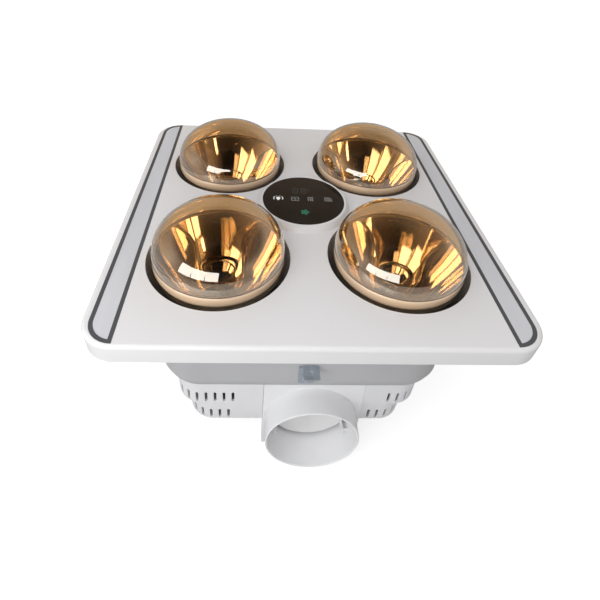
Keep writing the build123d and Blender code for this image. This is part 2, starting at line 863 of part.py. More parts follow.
panel_right = spigot_axis_x + spigot_radius + panel_margin
panel_top = level(box_foot_depth) - panel_gap
panel_mid = (panel_right - panel_left) / 2
panel_width = panel_right + panel_left
house_floor = level(tail_depth)
outlet_front = volute_mouth_y
rear_plate_front = outlet_front - seat_plate


def volute(offset):
    """Outline of the fan casing, offset outwards: three growing arcs and a straight outlet to the front."""
    half_step = volute_growth / 2
    first = volute_right_x - fan_x - half_step - 2 * volute_growth + offset
    c1 = (fan_x - half_step, fan_y + half_step)
    c2 = (fan_x + half_step, fan_y + half_step)
    c3 = (fan_x + half_step, fan_y - half_step)
    left = volute_left_x - offset
    start_y = c1[1] - math.sqrt(first**2 - (left - c1[0]) ** 2)
    start_angle = math.degrees(math.atan2(start_y - c1[1], left - c1[0]))
    with BuildSketch() as outline:
        with BuildLine():
            CenterArc(c1, first, start_angle, -180 - start_angle)
            CenterArc(c2, first + volute_growth, 180, -90)
            CenterArc(c3, first + 2 * volute_growth, 90, -90)
            Line((volute_right_x + offset, c3[1]), (volute_right_x + offset, volute_mouth_y))
            Line((volute_right_x + offset, volute_mouth_y), (left, volute_mouth_y))
            Line((left, volute_mouth_y), (left, start_y))
        make_face()
    return outline.sketch


casing_cavity = volute(0.0)
casing_outline = volute(casing_wall)
casing_opening = volute(casing_wall + casing_gap)
casing_rim = volute(casing_wall + casing_flange)
casing_ear = casing_wall + casing_flange / 2 + 0.5
casing_screw_places = [
    (fan_x + volute_growth / 2, fan_y + volute_right_x - fan_x - volute_growth / 2 + casing_ear),
    (volute_right_x + casing_ear, -55.0),
    (2 * fan_x - volute_right_x + 2 * volute_growth - casing_ear, fan_y + volute_growth / 2),
]

# Lower housing: two drafted steps, floor cut out for the fan casing and the duct adaptor
with BuildPart() as lower_housing:
    loft(
        [
            house_section(box_foot_depth, box_half, box_front, box_corner, 0.0),
            house_section(step_depth, box_half, box_front, box_corner, step_draft),
        ],
        ruled=True,
    )
    loft(
        [
            house_section(step_depth, tail_half, tail_front, tail_corner, 0.0),
            house_section(tail_depth, tail_half, tail_front, tail_corner, tail_draft),
        ],
        ruled=True,
    )
    loft(
        [
            house_section(box_foot_depth, box_half, box_front, box_corner, housing_wall),
            house_section(
                step_depth - housing_wall, box_half, box_front, box_corner, housing_wall + step_draft
            ),
        ],
        ruled=True,
        mode=Mode.SUBTRACT,
    )
    loft(
        [
            house_section(step_depth - housing_wall, tail_half, tail_front, tail_corner, housing_wall),
            house_section(
                tail_depth - housing_wall, tail_half, tail_front, tail_corner, housing_wall + tail_draft
            ),
        ],
        ruled=True,
        mode=Mode.SUBTRACT,
    )
    with BuildSketch(Plane.XY.offset(level(box_foot_depth))):
        with Locations(*joint_screw_places):
            Circle(joint_boss_dia / 2)
    extrude(amount=-joint_boss_height)
    with BuildSketch(Plane.XY.offset(level(box_foot_depth))):
        with Locations(*joint_screw_places):
            Circle(screw_dia / 2 + screw_clearance)
    extrude(amount=-screw_length, mode=Mode.SUBTRACT)
    with BuildSketch(Plane.XY.offset(house_floor)):
        add(casing_opening)
        with Locations(*casing_screw_places):
            Circle(small_screw_dia / 2 + screw_clearance)
    extrude(amount=housing_wall, mode=Mode.SUBTRACT)
    with Locations((panel_mid, -box_front, house_floor)):
        Box(
            panel_width + 2 * panel_gap,
            2 * (box_front + volute_mouth_y + panel_gap),
            level(box_foot_depth) - house_floor,
            align=(Align.CENTER, Align.CENTER, Align.MIN),
            mode=Mode.SUBTRACT,
        )
    rows = (
        (
            box_half - step_draft, box_front - step_draft, box_corner - step_draft,
            upper_slot_low, upper_slots, upper_slot_left, upper_slot_right,
        ),
        (
            tail_half - tail_draft, tail_front - tail_draft, tail_corner - tail_draft,
            lower_slot_low, lower_slots, lower_slot_left, lower_slot_right,
        ),
    )
    for half, front, corner, low, count, left_start, right_start in rows:
        for side, start in ((-1, left_start), (1, right_start)):
            for x, y, along, outward in slot_planes(half, front, corner, start, count, side):
                for end in (1, -1):
                    back_shift = 0.0 if end > 0 else half - front
                    seat = Plane(
                        origin=(x, end * y + back_shift, level(low) + slot_height / 2),
                        x_dir=(along[0], end * along[1], 0),
                        z_dir=(outward[0], end * outward[1], 0),
                    )
                    with BuildSketch(seat.offset(3 * housing_wall)):
                        SlotOverall(slot_height, slot_width, rotation=90)
                    extrude(amount=-6 * housing_wall, mode=Mode.SUBTRACT)
    # cable way behind the terminal box
    terminal_mid_z = level(terminal_top_depth) - terminal_height / 2
    with Locations((terminal_left + terminal_width / 2, box_half, terminal_mid_z)):
        Box(30, 4 * housing_wall, 10, mode=Mode.SUBTRACT)
save(lower_housing.part, "lower_housing")

# Fan casing: floor, scroll walls and the flange that hangs it from the housing floor
casing_top = casing_height
cover_bottom = casing_top - cover_sheet
flange_top = house_floor
stud_circle = [
    (fan_x + grommet_circle * math.cos(math.radians(120 * i + 90)),
     fan_y + grommet_circle * math.sin(math.radians(120 * i + 90)))
    for i in range(fastener_count)
]
with BuildPart() as scroll_case:
    with BuildSketch():
        add(casing_outline)
    extrude(amount=cover_bottom)
    with BuildSketch(Plane.XY.offset(flange_top - casing_flange_sheet)):
        add(casing_rim)
        with Locations(*casing_screw_places):
            Circle(small_screw_dia / 2 + screw_clearance, mode=Mode.SUBTRACT)
    extrude(amount=casing_flange_sheet)
    with BuildSketch(Plane.XY.offset(casing_floor)):
        add(casing_cavity)
    extrude(amount=cover_bottom - casing_floor, mode=Mode.SUBTRACT)
save(scroll_case.part, "scroll_case")

fan_place = (fan_x, fan_y)
fan_axis = upright_axis(fan_place)
with BuildPart() as scroll_cover:
    with BuildSketch(Plane.XY.offset(cover_bottom)):
        add(casing_outline)
        with Locations(fan_place):
            Circle(inlet_dia / 2 + inlet_wall, mode=Mode.SUBTRACT)
    extrude(amount=cover_sheet)
    with BuildSketch(upright(fan_place)):
        with BuildLine():
            Polyline(
                (inlet_dia / 2 + inlet_lip, casing_top),
                (inlet_dia / 2 + inlet_wall, cover_bottom),
                (inlet_dia / 2 + inlet_wall, cover_bottom - inlet_drop),
                (inlet_dia / 2, cover_bottom - inlet_drop),
                (inlet_dia / 2, cover_bottom),
                (inlet_dia / 2 + inlet_wall, casing_top),
                close=True,
            )
        make_face()
    revolve(axis=fan_axis)
save(scroll_cover.part, "scroll_cover")

# Fan wheel: disc and dome over the motor, hub, forward-curved blades and a top ring
blade_inner = wheel_eye_dia / 2 + blade_sunk
blade_outer = wheel_dia / 2 - blade_sunk
blade_lean = math.radians(7.0)
with BuildSketch() as blade:
    with BuildLine():
        SagittaArc(
            (blade_inner, 0),
            (blade_outer * math.cos(blade_lean), blade_outer * math.sin(blade_lean)),
            blade_bow,
        )
    trace(line_width=blade_thickness)
ring_height = 3.0
with BuildPart() as impeller:
    with BuildSketch(upright(fan_place)):
        with BuildLine():
            Polyline(
                (dome_dia / 2, wheel_bottom),
                (wheel_dia / 2, wheel_bottom),
                (wheel_dia / 2, wheel_bottom + wheel_disc),
                (dome_dia / 2, wheel_bottom + wheel_disc),
                (dome_dia / 2 - 1.0, dome_height + dome_wall),
                (wheel_hub_dia / 2, dome_height + dome_wall),
                (wheel_hub_dia / 2, dome_height + wheel_hub_height),
                (shaft_dia / 2 + fit_clearance, dome_height + wheel_hub_height),
                (shaft_dia / 2 + fit_clearance, dome_height),
                (dome_dia / 2 - 1.0 - dome_wall, dome_height),
                (dome_dia / 2 - dome_wall, wheel_bottom),
                close=True,
            )
        make_face()
        with BuildLine():
            Polyline(
                (wheel_dia / 2 - 4.0, wheel_top - ring_height),
                (wheel_dia / 2, wheel_top - ring_height),
                (wheel_dia / 2, wheel_top),
                (wheel_dia / 2 - 4.0, wheel_top),
                close=True,
            )
        make_face()
    revolve(axis=fan_axis)
    with BuildSketch(Plane((fan_x, fan_y, wheel_bottom + wheel_disc / 2))):
        with PolarLocations(0, wheel_blades):
            add(blade.sketch)
    extrude(amount=wheel_top - ring_height / 2 - wheel_bottom - wheel_disc / 2)
save(impeller.part, "impeller")

# Motor: can on three grommets, stator with its coil heads, rotor, shaft and two bushes
motor_bottom = casing_floor + grommet_height
motor_top = motor_bottom + motor_height
low_bush = motor_bottom + motor_wall
high_bush = motor_top + motor_nose - bush_height
with BuildPart() as motor_can:
    with BuildSketch(upright(fan_place)):
        with BuildLine():
            Polyline(
                (0, motor_bottom),
                (motor_dia / 2, motor_bottom),
                (motor_dia / 2, motor_top),
                (motor_boss_dia / 2, motor_top),
                (motor_boss_dia / 2, motor_top + motor_nose),
                (bush_dia / 2 + fit_clearance, motor_top + motor_nose),
                (bush_dia / 2 + fit_clearance, high_bush),
                (shaft_dia, high_bush),
                (shaft_dia, high_bush - 1.5),
                (motor_boss_dia / 2, high_bush - 1.5),
                (motor_boss_dia / 2, motor_top - motor_wall),
                (motor_dia / 2 - motor_wall, motor_top - motor_wall),
                (motor_dia / 2 - motor_wall, motor_bottom + motor_wall),
                (motor_boss_dia / 2, motor_bottom + motor_wall),
                (motor_boss_dia / 2, low_bush + motor_boss_height),
                (bush_dia / 2 + fit_clearance, low_bush + motor_boss_height),
                (bush_dia / 2 + fit_clearance, low_bush),
                (0, low_bush),
                close=True,
            )
        make_face()
    revolve(axis=fan_axis)
    with BuildSketch(Plane.XY.offset(motor_bottom)):
        with Locations(*stud_circle):
            Circle(motor_stud_dia / 2)
    extrude(amount=-motor_stud_length)
save(motor_can.part, "motor_can")

stator_bottom = low_bush + motor_boss_height + coil_height - 1.5
with BuildPart() as motor_stator:
    add(ring(fan_place, stator_dia, stator_bore, stator_bottom, stator_bottom + stator_height))
    add(ring(fan_place, coil_dia, coil_bore, stator_bottom - coil_height, stator_bottom))
    add(ring(fan_place, coil_dia, coil_bore, stator_bottom + stator_height,
             stator_bottom + stator_height + coil_height))
save(motor_stator.part, "motor_stator")
save(ring(fan_place, rotor_dia, shaft_dia + 2 * fit_clearance, stator_bottom, stator_bottom + rotor_height),
     "motor_rotor")
save(ring(fan_place, shaft_dia, 0, low_bush + 0.5, dome_height + wheel_hub_height), "motor_shaft")

with BuildPart() as motor_bushes:
    for bottom in (low_bush, high_bush):
        add(ring(fan_place, bush_dia, shaft_dia + 2 * running_clearance, bottom, bottom + bush_height))
save(motor_bushes.part, "motor_bushes")

with BuildPart() as motor_grommets:
    for place in stud_circle:
        add(ring(place, grommet_dia, grommet_bore_dia, casing_floor, motor_bottom))
save(motor_grommets.part, "motor_grommets")

# Duct adaptor: open-topped box between casing and front, with the spigot and the flap's seat
pivot_z = spigot_axis_z - flap_pivot_drop
pivot_y = rear_plate_front - flap_seat_gap - flap_sheet / 2 - flap_pivot_forward
with BuildPart() as duct_adaptor:
    with Locations((panel_mid, -box_front, 0)):
        Box(
            panel_width, box_front + outlet_front, cover_bottom,
            align=(Align.CENTER, Align.MIN, Align.MIN),
        )
    with Locations((panel_mid, -box_front + panel_sheet, casing_floor)):
        Box(
            panel_width - 2 * casing_wall, rear_plate_front + box_front - panel_sheet, casing_height,
            align=(Align.CENTER, Align.MIN, Align.MIN),
            mode=Mode.SUBTRACT,
        )
    with Locations((panel_mid, -box_front, 0)):
        Box(panel_width, panel_sheet, panel_top, align=(Align.CENTER, Align.MIN, Align.MIN))
    with BuildSketch(duct_plane.offset(-rear_plate_front)):
        Circle(spigot_radius)
    extrude(amount=rear_plate_front - mouth_y)
    with BuildSketch(duct_plane.offset(-rear_plate_front)):
        Circle(spigot_bore)
    extrude(amount=rear_plate_front - mouth_y, mode=Mode.SUBTRACT)
    with BuildSketch(duct_plane.offset(-outlet_front)):
        Circle(seat_dia / 2)
        with Locations((0, flap_notch - flap_pivot_drop - spigot_bore / 2)):
            Rectangle(2 * spigot_bore, spigot_bore)
        Circle(spigot_bore, mode=Mode.INTERSECT)
    extrude(amount=seat_plate, mode=Mode.SUBTRACT)
    with BuildSketch(Plane(origin=(spigot_axis_x, pivot_y, pivot_z), x_dir=(0, 1, 0), z_dir=(1, 0, 0))):
        Circle(flap_pin_dia / 2 + flap_pin_clearance)
    extrude(amount=spigot_radius, both=True, mode=Mode.SUBTRACT)
    lip_edges = duct_adaptor.edges().filter_by(GeomType.CIRCLE).group_by(Axis.Y)[0]
    chamfer(lip_edges, 0.6)
save(duct_adaptor.part, "duct_adaptor")

flap_front = rear_plate_front - flap_seat_gap
with BuildPart() as damper_flap:
    with BuildSketch(duct_plane.offset(-flap_front)):
        Circle(flap_dia / 2)
    extrude(amount=flap_sheet)
    for side in (-1, 1):
        arm_x = spigot_axis_x + side * (flap_arm_offset + flap_arm_width / 2)
        with Locations((arm_x, flap_front, pivot_z)):
            Box(
                flap_arm_width, flap_front - pivot_y + flap_arm_height / 2, flap_arm_height,
                align=(Align.CENTER, Align.MAX, Align.CENTER),
            )
        pin_reach = math.sqrt(spigot_radius**2 - flap_pivot_drop**2) - 0.6
        with BuildSketch(Plane(origin=(arm_x, pivot_y, pivot_z), x_dir=(0, side, 0), z_dir=(side, 0, 0))):
            Circle(flap_pin_dia / 2)
        extrude(amount=pin_reach - flap_arm_offset - flap_arm_width / 2)
    with BuildSketch(duct_plane.offset(-flap_front + flap_sheet)):
        Rectangle(1.4, flap_dia - 16)
        Rectangle(flap_dia - 16, 1.4)
    extrude(amount=1.2)
save(damper_flap.part, "damper_flap")

# Clamp brackets: leg with a slot against the box wall, tab turned outwards at the top
for name, seat in bracket_seats.items():
    with BuildPart() as clamp_bracket:
        with BuildSketch(seat.offset(bracket_seat_gap)):
            Rectangle(bracket_width, bracket_leg)
        extrude(amount=bracket_sheet)
        tab_place = (bracket_tab_shift, bracket_leg / 2)
        with BuildSketch(seat.offset(bracket_seat_gap)):
            with Locations(tab_place):
                Rectangle(bracket_tab_width, bracket_sheet, align=(Align.CENTER, Align.MIN))
        extrude(amount=bracket_sheet + bracket_tab)
        with BuildSketch(seat):
            SlotOverall(bracket_slot_length, bracket_slot_width, rotation=90)
        extrude(amount=bracket_seat_gap + bracket_sheet, mode=Mode.SUBTRACT)
        tab_reach = bracket_seat_gap + bracket_sheet + bracket_tab / 2
        tab_top = Plane(
            origin=seat.from_local_coords((bracket_tab_shift, bracket_leg / 2 + bracket_sheet, tab_reach)),
            z_dir=(0, 0, 1),
        )
        with BuildSketch(tab_top):
            Circle(bracket_hole_dia / 2)
        extrude(amount=-bracket_sheet, mode=Mode.SUBTRACT)
    save(clamp_bracket.part, f"clamp_bracket_{name}")


def screw(seat, dia, head_dia, head_height, length):
    """Pan-head screw: its head stands on the plane and its shank goes in."""
    with BuildPart() as body:
        with BuildSketch(seat):
            Circle(head_dia / 2)
        extrude(amount=head_height)
        with BuildSketch(seat):
            Circle(dia / 2)
        extrude(amount=-length)
    return body.part


with BuildPart() as clamp_screws:
    for seat in bracket_seats.values():
        add(screw(seat.offset(bracket_seat_gap + bracket_sheet), screw_dia, screw_head_dia, screw_head_height,
                  screw_length))
save(clamp_screws.part, "clamp_screws")

down = {"x_dir": (1, 0, 0), "z_dir": (0, 0, -1)}
with BuildPart() as housing_screws:
    for x, y in joint_screw_places:
        seat = Plane((x, y, level(box_floor_top)))
        add(screw(seat, screw_dia, screw_head_dia, screw_head_height, screw_length))
    for x, y in pillar_places:
        seat = Plane((x, y, chassis_top))
        add(screw(seat, small_screw_dia, small_head_dia, small_head_height, screw_length))
    for x, y in flange_screw_places:
        seat = Plane(origin=(x, y, level(box_top_depth + box_flange_sheet)), **down)
        add(screw(seat, screw_dia, screw_head_dia, screw_head_height, screw_length - 0.5))
    for x, y in casing_screw_places:
        seat = Plane(origin=(x, y, flange_top - casing_flange_sheet), **down)
        add(screw(seat, small_screw_dia, small_head_dia, small_head_height, screw_length - 2.0))
save(housing_screws.part, "housing_screws")

# Terminal box on the back wall, with its cover, block and cable gland
terminal_top = level(terminal_top_depth)
terminal_bottom = terminal_top - terminal_height
terminal_back = box_half + terminal_seat_gap
terminal_mid = terminal_left + terminal_width / 2
terminal_face = terminal_back + terminal_reach
terminal_right = terminal_left + terminal_width
with BuildPart() as terminal_box:
    with Locations((terminal_mid, terminal_back, terminal_bottom)):
        Box(terminal_width, terminal_reach, terminal_height, align=(Align.CENTER, Align.MIN, Align.MIN))
    with Locations((terminal_mid, terminal_back + terminal_wall, terminal_bottom + terminal_wall)):
        Box(
            terminal_width - 2 * terminal_wall, terminal_reach, terminal_height - 2 * terminal_wall,
            align=(Align.CENTER, Align.MIN, Align.MIN),
            mode=Mode.SUBTRACT,
        )
    with Locations((terminal_mid, terminal_back, terminal_bottom + terminal_height / 2)):
        Box(30, 2 * terminal_wall, 10, mode=Mode.SUBTRACT)
    gland_plane = Plane(
        origin=(terminal_right, terminal_back + terminal_reach / 2, terminal_bottom + terminal_height / 2),
        x_dir=(0, 1, 0),
        z_dir=(1, 0, 0),
    )
    with BuildSketch(gland_plane):
        Circle(gland_dia / 2 + screw_clearance)
    extrude(amount=-terminal_wall, mode=Mode.SUBTRACT)
save(terminal_box.part, "terminal_box")

with BuildPart() as terminal_cover:
    with Locations((terminal_mid, terminal_face, terminal_bottom)):
        Box(terminal_width, 2.0, terminal_height, align=(Align.CENTER, Align.MIN, Align.MIN))
    with Locations((terminal_mid, terminal_face, terminal_bottom + terminal_wall + 0.3)):
        Box(
            terminal_width - 2 * terminal_wall - 0.6, 2.0, terminal_height - 2 * terminal_wall - 0.6,
            align=(Align.CENTER, Align.MAX, Align.MIN),
        )
save(terminal_cover.part, "terminal_cover")

block_x = terminal_mid - 8
block_front = terminal_back + terminal_wall + 3.0
with BuildPart() as terminal_block:
    with Locations((block_x, block_front, terminal_bottom + terminal_wall)):
        Box(
            terminal_ways * terminal_way_pitch, terminal_block_depth, terminal_block_height,
            align=(Align.CENTER, Align.MIN, Align.MIN),
        )
    block_top = terminal_bottom + terminal_wall + terminal_block_height
    with BuildSketch(Plane((block_x, block_front + terminal_block_depth / 2, block_top))):
        with GridLocations(terminal_way_pitch, terminal_block_depth / 2, terminal_ways, 2):
            Circle(2.4)
    extrude(amount=-5.0, mode=Mode.SUBTRACT)
save(terminal_block.part, "terminal_block")

with BuildPart() as cable_gland:
    with BuildSketch(gland_plane.offset(-terminal_wall - 3.0)):
        Circle(gland_dia / 2)
    extrude(amount=terminal_wall + 3.0)
    with BuildSketch(gland_plane):
        Circle(gland_flange_dia / 2)
    extrude(amount=gland_flange_sheet)
    with BuildSketch(gland_plane.offset(gland_flange_sheet)):
        RegularPolygon(gland_dia / 2 + 1.0, 6)
    extrude(amount=gland_length - gland_flange_sheet)
    with BuildSketch(gland_plane.offset(-terminal_wall - 3.0)):
        Circle(gland_bore_dia / 2)
    extrude(amount=terminal_wall + 3.0 + gland_length, mode=Mode.SUBTRACT)
save(cable_gland.part, "cable_gland")
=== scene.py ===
import json
import logging
import math
from dataclasses import dataclass
from enum import Enum

import bpy
import numpy as np
from mathutils import Matrix, Vector

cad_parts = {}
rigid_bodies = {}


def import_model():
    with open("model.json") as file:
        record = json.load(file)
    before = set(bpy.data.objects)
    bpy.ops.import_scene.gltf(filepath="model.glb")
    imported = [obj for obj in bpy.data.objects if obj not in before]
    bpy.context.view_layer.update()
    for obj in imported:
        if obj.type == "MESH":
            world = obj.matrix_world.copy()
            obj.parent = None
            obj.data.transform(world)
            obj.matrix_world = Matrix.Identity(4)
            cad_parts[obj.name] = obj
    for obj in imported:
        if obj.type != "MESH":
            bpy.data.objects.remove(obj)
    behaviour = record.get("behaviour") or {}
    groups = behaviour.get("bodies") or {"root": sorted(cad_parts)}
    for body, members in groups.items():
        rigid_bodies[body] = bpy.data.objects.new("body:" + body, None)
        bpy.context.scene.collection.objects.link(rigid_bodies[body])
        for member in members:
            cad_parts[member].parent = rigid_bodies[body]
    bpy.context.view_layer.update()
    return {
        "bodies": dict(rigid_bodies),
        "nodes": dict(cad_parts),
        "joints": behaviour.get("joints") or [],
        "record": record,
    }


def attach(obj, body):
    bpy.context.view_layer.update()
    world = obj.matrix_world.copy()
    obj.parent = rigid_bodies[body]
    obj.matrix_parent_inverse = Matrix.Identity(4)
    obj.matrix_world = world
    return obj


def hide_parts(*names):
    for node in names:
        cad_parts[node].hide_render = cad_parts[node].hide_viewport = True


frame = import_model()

log = logging.getLogger("heater")
logging.basicConfig(level=logging.INFO, format="%(message)s")

MM = 0.001
IMAGE_SIDE = 600
FACE_HEIGHT = 250 * MM
SEGMENTS = 128
ROOT = "heater"

Colour = tuple[float, float, float]
Place = tuple[float, float]


class Corner(Enum):
    """Which of the four lamps: its node ending, and where it stands on the face."""

    FRONT_LEFT = ("front_left", -1, -1)
    FRONT_RIGHT = ("front_right", 1, -1)
    BACK_LEFT = ("back_left", -1, 1)
    BACK_RIGHT = ("back_right", 1, 1)

    @property
    def label(self) -> str:
        """Ending of the lamp's node names."""
        return self.value[0]

    def place(self, pitch: float) -> Place:
        """Centre of the lamp for a spacing of lamps."""
        return self.value[1] * pitch / 2, self.value[2] * pitch / 2


class Side(Enum):
    """Left or right light strip: its node ending."""

    LEFT = "left"
    RIGHT = "right"


# Materials


class Nodes:
    """A node tree with short calls for the sums that patterns need."""

    def __init__(self, tree: bpy.types.NodeTree) -> None:
        """Takes the tree that the calls add to."""
        self.tree = tree

    def math(self, kind: str, a: object, b: object = 0.0) -> bpy.types.NodeSocket:
        """One Math node of two values or sockets."""
        node = self.tree.nodes.new("ShaderNodeMath")
        node.operation = kind
        for socket, value in zip(node.inputs, (a, b)):
            if isinstance(value, bpy.types.NodeSocket):
                self.tree.links.new(value, socket)
            else:
                socket.default_value = value
        return node.outputs["Value"]

    def axes(self, vector: bpy.types.NodeSocket) -> list[bpy.types.NodeSocket]:
        """The three coordinates of a vector."""
        node = self.tree.nodes.new("ShaderNodeSeparateXYZ")
        self.tree.links.new(vector, node.inputs["Vector"])
        return list(node.outputs)

    def ramp(self, value: bpy.types.NodeSocket, stops: list[tuple[float, Colour]]) -> bpy.types.NodeSocket:
        """Colour by value.

        Args:
            value: what the colour follows.
            stops: positions and their colours.

        Returns:
            The colour socket.
        """
        node = self.tree.nodes.new("ShaderNodeValToRGB")
        elements = node.color_ramp.elements
        while len(elements) < len(stops):
            elements.new(0.5)
        for element, (position, colour) in zip(elements, stops):
            element.position = position
            element.color = (*colour, 1.0)
        self.tree.links.new(value, node.inputs["Fac"])
        return node.outputs["Color"]

    def span(self, value: bpy.types.NodeSocket, low: float, high: float, lo: float, hi: float) -> bpy.types.NodeSocket:
        """Value carried from low..high to lo..hi, and held there."""
        node = self.tree.nodes.new("ShaderNodeMapRange")
        node.inputs["From Min"].default_value = low
        node.inputs["From Max"].default_value = high
        node.inputs["To Min"].default_value = lo
        node.inputs["To Max"].default_value = hi
        self.tree.links.new(value, node.inputs["Value"])
        return node.outputs["Result"]


class Recipe(Nodes):
    """Node tree of one material, with the few patterns that the finishes share."""

    def __init__(self, name: str, centre: tuple[float, float, float] = (0.0, 0.0, 0.0)) -> None:
        """Starts a material with a Principled shader.

        Args:
            name: name of the material.
            centre: point in the row frame that patterns are measured from.
        """
        self.material = bpy.data.materials.new(name)
        self.material.use_nodes = True
        super().__init__(self.material.node_tree)
        self.shader = self.tree.nodes["Principled BSDF"]
        coords = self.tree.nodes.new("ShaderNodeTexCoord")
        shift = self.tree.nodes.new("ShaderNodeMapping")
        shift.inputs["Location"].default_value = [-c for c in centre]
        self.tree.links.new(coords.outputs["Object"], shift.inputs["Vector"])
        self.point = shift.outputs["Vector"]

    def set(self, **values: object) -> "Recipe":
        """Sets sockets of the shader; an underscore in a key stands for a space."""
        for key, value in values.items():
            socket = self.shader.inputs[key.replace("_", " ")]
            if socket.type == "RGBA":
                socket.default_value = (*value, 1.0)
            else:
                socket.default_value = value
        return self

    def link(self, source: bpy.types.NodeSocket, target: str) -> "Recipe":
        """Joins a socket to a socket of the shader."""
        self.tree.links.new(source, self.shader.inputs[target])
        return self

    def stretched(self, factors: tuple[float, float, float]) -> bpy.types.NodeSocket:
        """Coordinates multiplied by a factor for each axis."""
        node = self.tree.nodes.new("ShaderNodeMapping")
        node.inputs["Scale"].default_value = factors
        self.tree.links.new(self.point, node.inputs["Vector"])
        return node.outputs["Vector"]

    def noise(
        self, scale: float, detail: float = 3.0, factors: tuple[float, float, float] = (1.0, 1.0, 1.0)
    ) -> bpy.types.NodeSocket:
        """Noise pattern.

        Args:
            scale: features per metre.
            detail: octaves.
            factors: stretch of the coordinates along each axis.

        Returns:
            The pattern's value socket.
        """
        node = self.tree.nodes.new("ShaderNodeTexNoise")
        node.inputs["Scale"].default_value = scale
        node.inputs["Detail"].default_value = detail
        self.tree.links.new(self.stretched(factors), node.inputs["Vector"])
        return node.outputs["Fac"]

    def cells(self, scale: float) -> bpy.types.NodeSocket:
        """Distance to the nearest cell centre, for grain and speckle."""
        node = self.tree.nodes.new("ShaderNodeTexVoronoi")
        node.inputs["Scale"].default_value = scale
        self.tree.links.new(self.point, node.inputs["Vector"])
        return node.outputs["Distance"]

    def axis(self, index: int) -> bpy.types.NodeSocket:
        """One coordinate of the point."""
        return self.axes(self.point)[index]

    def radius(self) -> bpy.types.NodeSocket:
        """Distance from the upright axis through the centre."""
        x, y = self.axis(0), self.axis(1)
        return self.math("SQRT", self.math("ADD", self.math("MULTIPLY", x, x), self.math("MULTIPLY", y, y)))

    def bump(self, value: bpy.types.NodeSocket, strength: float, depth: float) -> "Recipe":
        """Relief from a value, of a depth in metres; a second call lies on top of the first."""
        node = self.tree.nodes.new("ShaderNodeBump")
        node.inputs["Strength"].default_value = strength
        node.inputs["Distance"].default_value = depth
        self.tree.links.new(value, node.inputs["Height"])
        normal = self.shader.inputs["Normal"]
        if normal.is_linked:
            self.tree.links.new(normal.links[0].from_socket, node.inputs["Normal"])
        self.tree.links.new(node.outputs["Normal"], normal)
        return self


def tint(colour: Colour, factor: float) -> Colour:
    """Colour made lighter or darker by a factor, held at white."""
    return tuple(min(1.0, c * factor) for c in colour)


@dataclass(frozen=True)
class Moulding:
    """Injection-moulded plastic: fine grain, slight unevenness of tone and gloss."""

    name: str
    colour: Colour
    roughness: float = 0.4
    grain: float = 0.000012
    grain_scale: float = 2600.0
    variation: float = 0.03
    coat: float = 0.0

    def material(self) -> bpy.types.Material:
        """Material of the plastic."""
        r = Recipe(self.name)
        r.set(Roughness=self.roughness, IOR=1.5, Coat_Weight=self.coat, Coat_Roughness=0.12)
        tone = r.noise(9.0, 2.0)
        low, high = tint(self.colour, 1 - self.variation), tint(self.colour, 1 + self.variation)
        r.link(r.ramp(tone, [(0.3, low), (0.7, high)]), "Base Color")
        r.link(r.span(r.noise(60.0, 3.0), 0.3, 0.7, self.roughness * 0.9, min(1.0, self.roughness * 1.12)), "Roughness")
        r.bump(r.noise(self.grain_scale, 2.0), 0.25, self.grain)
        r.bump(r.noise(28.0, 1.0), 0.08, 0.0004)
        return r.material


@dataclass(frozen=True)
class SheetMetal:
    """Zinc-plated or bright sheet: rolled streaks along one axis and soft blotches of the plating."""

    name: str
    colour: Colour
    roughness: float = 0.35
    streaks: tuple[float, float, float] = (1.0, 14.0, 1.0)
    blotch: float = 0.1

    def material(self) -> bpy.types.Material:
        """Material of the sheet."""
        r = Recipe(self.name)
        r.set(Metallic=1.0, Roughness=self.roughness)
        patch = r.noise(120.0, 4.0)
        low, high = tint(self.colour, 1 - self.blotch), tint(self.colour, 1 + self.blotch)
        r.link(r.ramp(patch, [(0.3, low), (0.7, high)]), "Base Color")
        streak = r.noise(260.0, 2.0, self.streaks)
        r.link(r.span(streak, 0.25, 0.75, self.roughness * 0.75, self.roughness * 1.3), "Roughness")
        r.bump(streak, 0.15, 0.00004)
        return r.material


@dataclass(frozen=True)
class Spun:
    """Bright metal spun on a lathe: fine rings round the piece's own axis."""

    name: str
    colour: Colour
    place: Place
    roughness: float = 0.16
    rings: float = 9000.0
    metal: float = 1.0

    def material(self) -> bpy.types.Material:
        """Material of the spun piece."""
        r = Recipe(self.name, (*self.place, 0.0))
        r.set(Metallic=self.metal)
        slant = r.math("ADD", r.radius(), r.math("MULTIPLY", r.axis(2), 0.7))
        ring = r.math("SINE", r.math("MULTIPLY", slant, self.rings))
        r.link(r.ramp(r.noise(45.0, 3.0), [(0.3, tint(self.colour, 0.88)), (0.7, self.colour)]), "Base Color")
        r.link(r.span(ring, -1.0, 1.0, self.roughness * 0.7, self.roughness * 1.5), "Roughness")
        r.bump(ring, 0.12, 0.00002)
        return r.material


@dataclass(frozen=True)
class CoatedGlass:
    """Front glass of a lamp: clear glass with a thin gold film that mirrors part of the light."""

    name: str
    colour: Colour = (1.0, 0.79, 0.52)
    film: float = 0.12

    def material(self) -> bpy.types.Material:
        """Material of the front glass."""
        r = Recipe(self.name)
        r.set(Metallic=self.film, Transmission_Weight=1.0, Roughness=0.0, IOR=1.4, Coat_Weight=1.0, Coat_Roughness=0.0)
        r.set(Coat_IOR=2.1)
        film = r.noise(14.0, 1.5, (1.0, 1.0, 0.6))
        r.link(r.ramp(film, [(0.35, tint(self.colour, 0.94)), (0.65, self.colour)]), "Base Color")
        r.bump(r.noise(16.0, 1.0), 0.05, 0.0004)
        return r.material


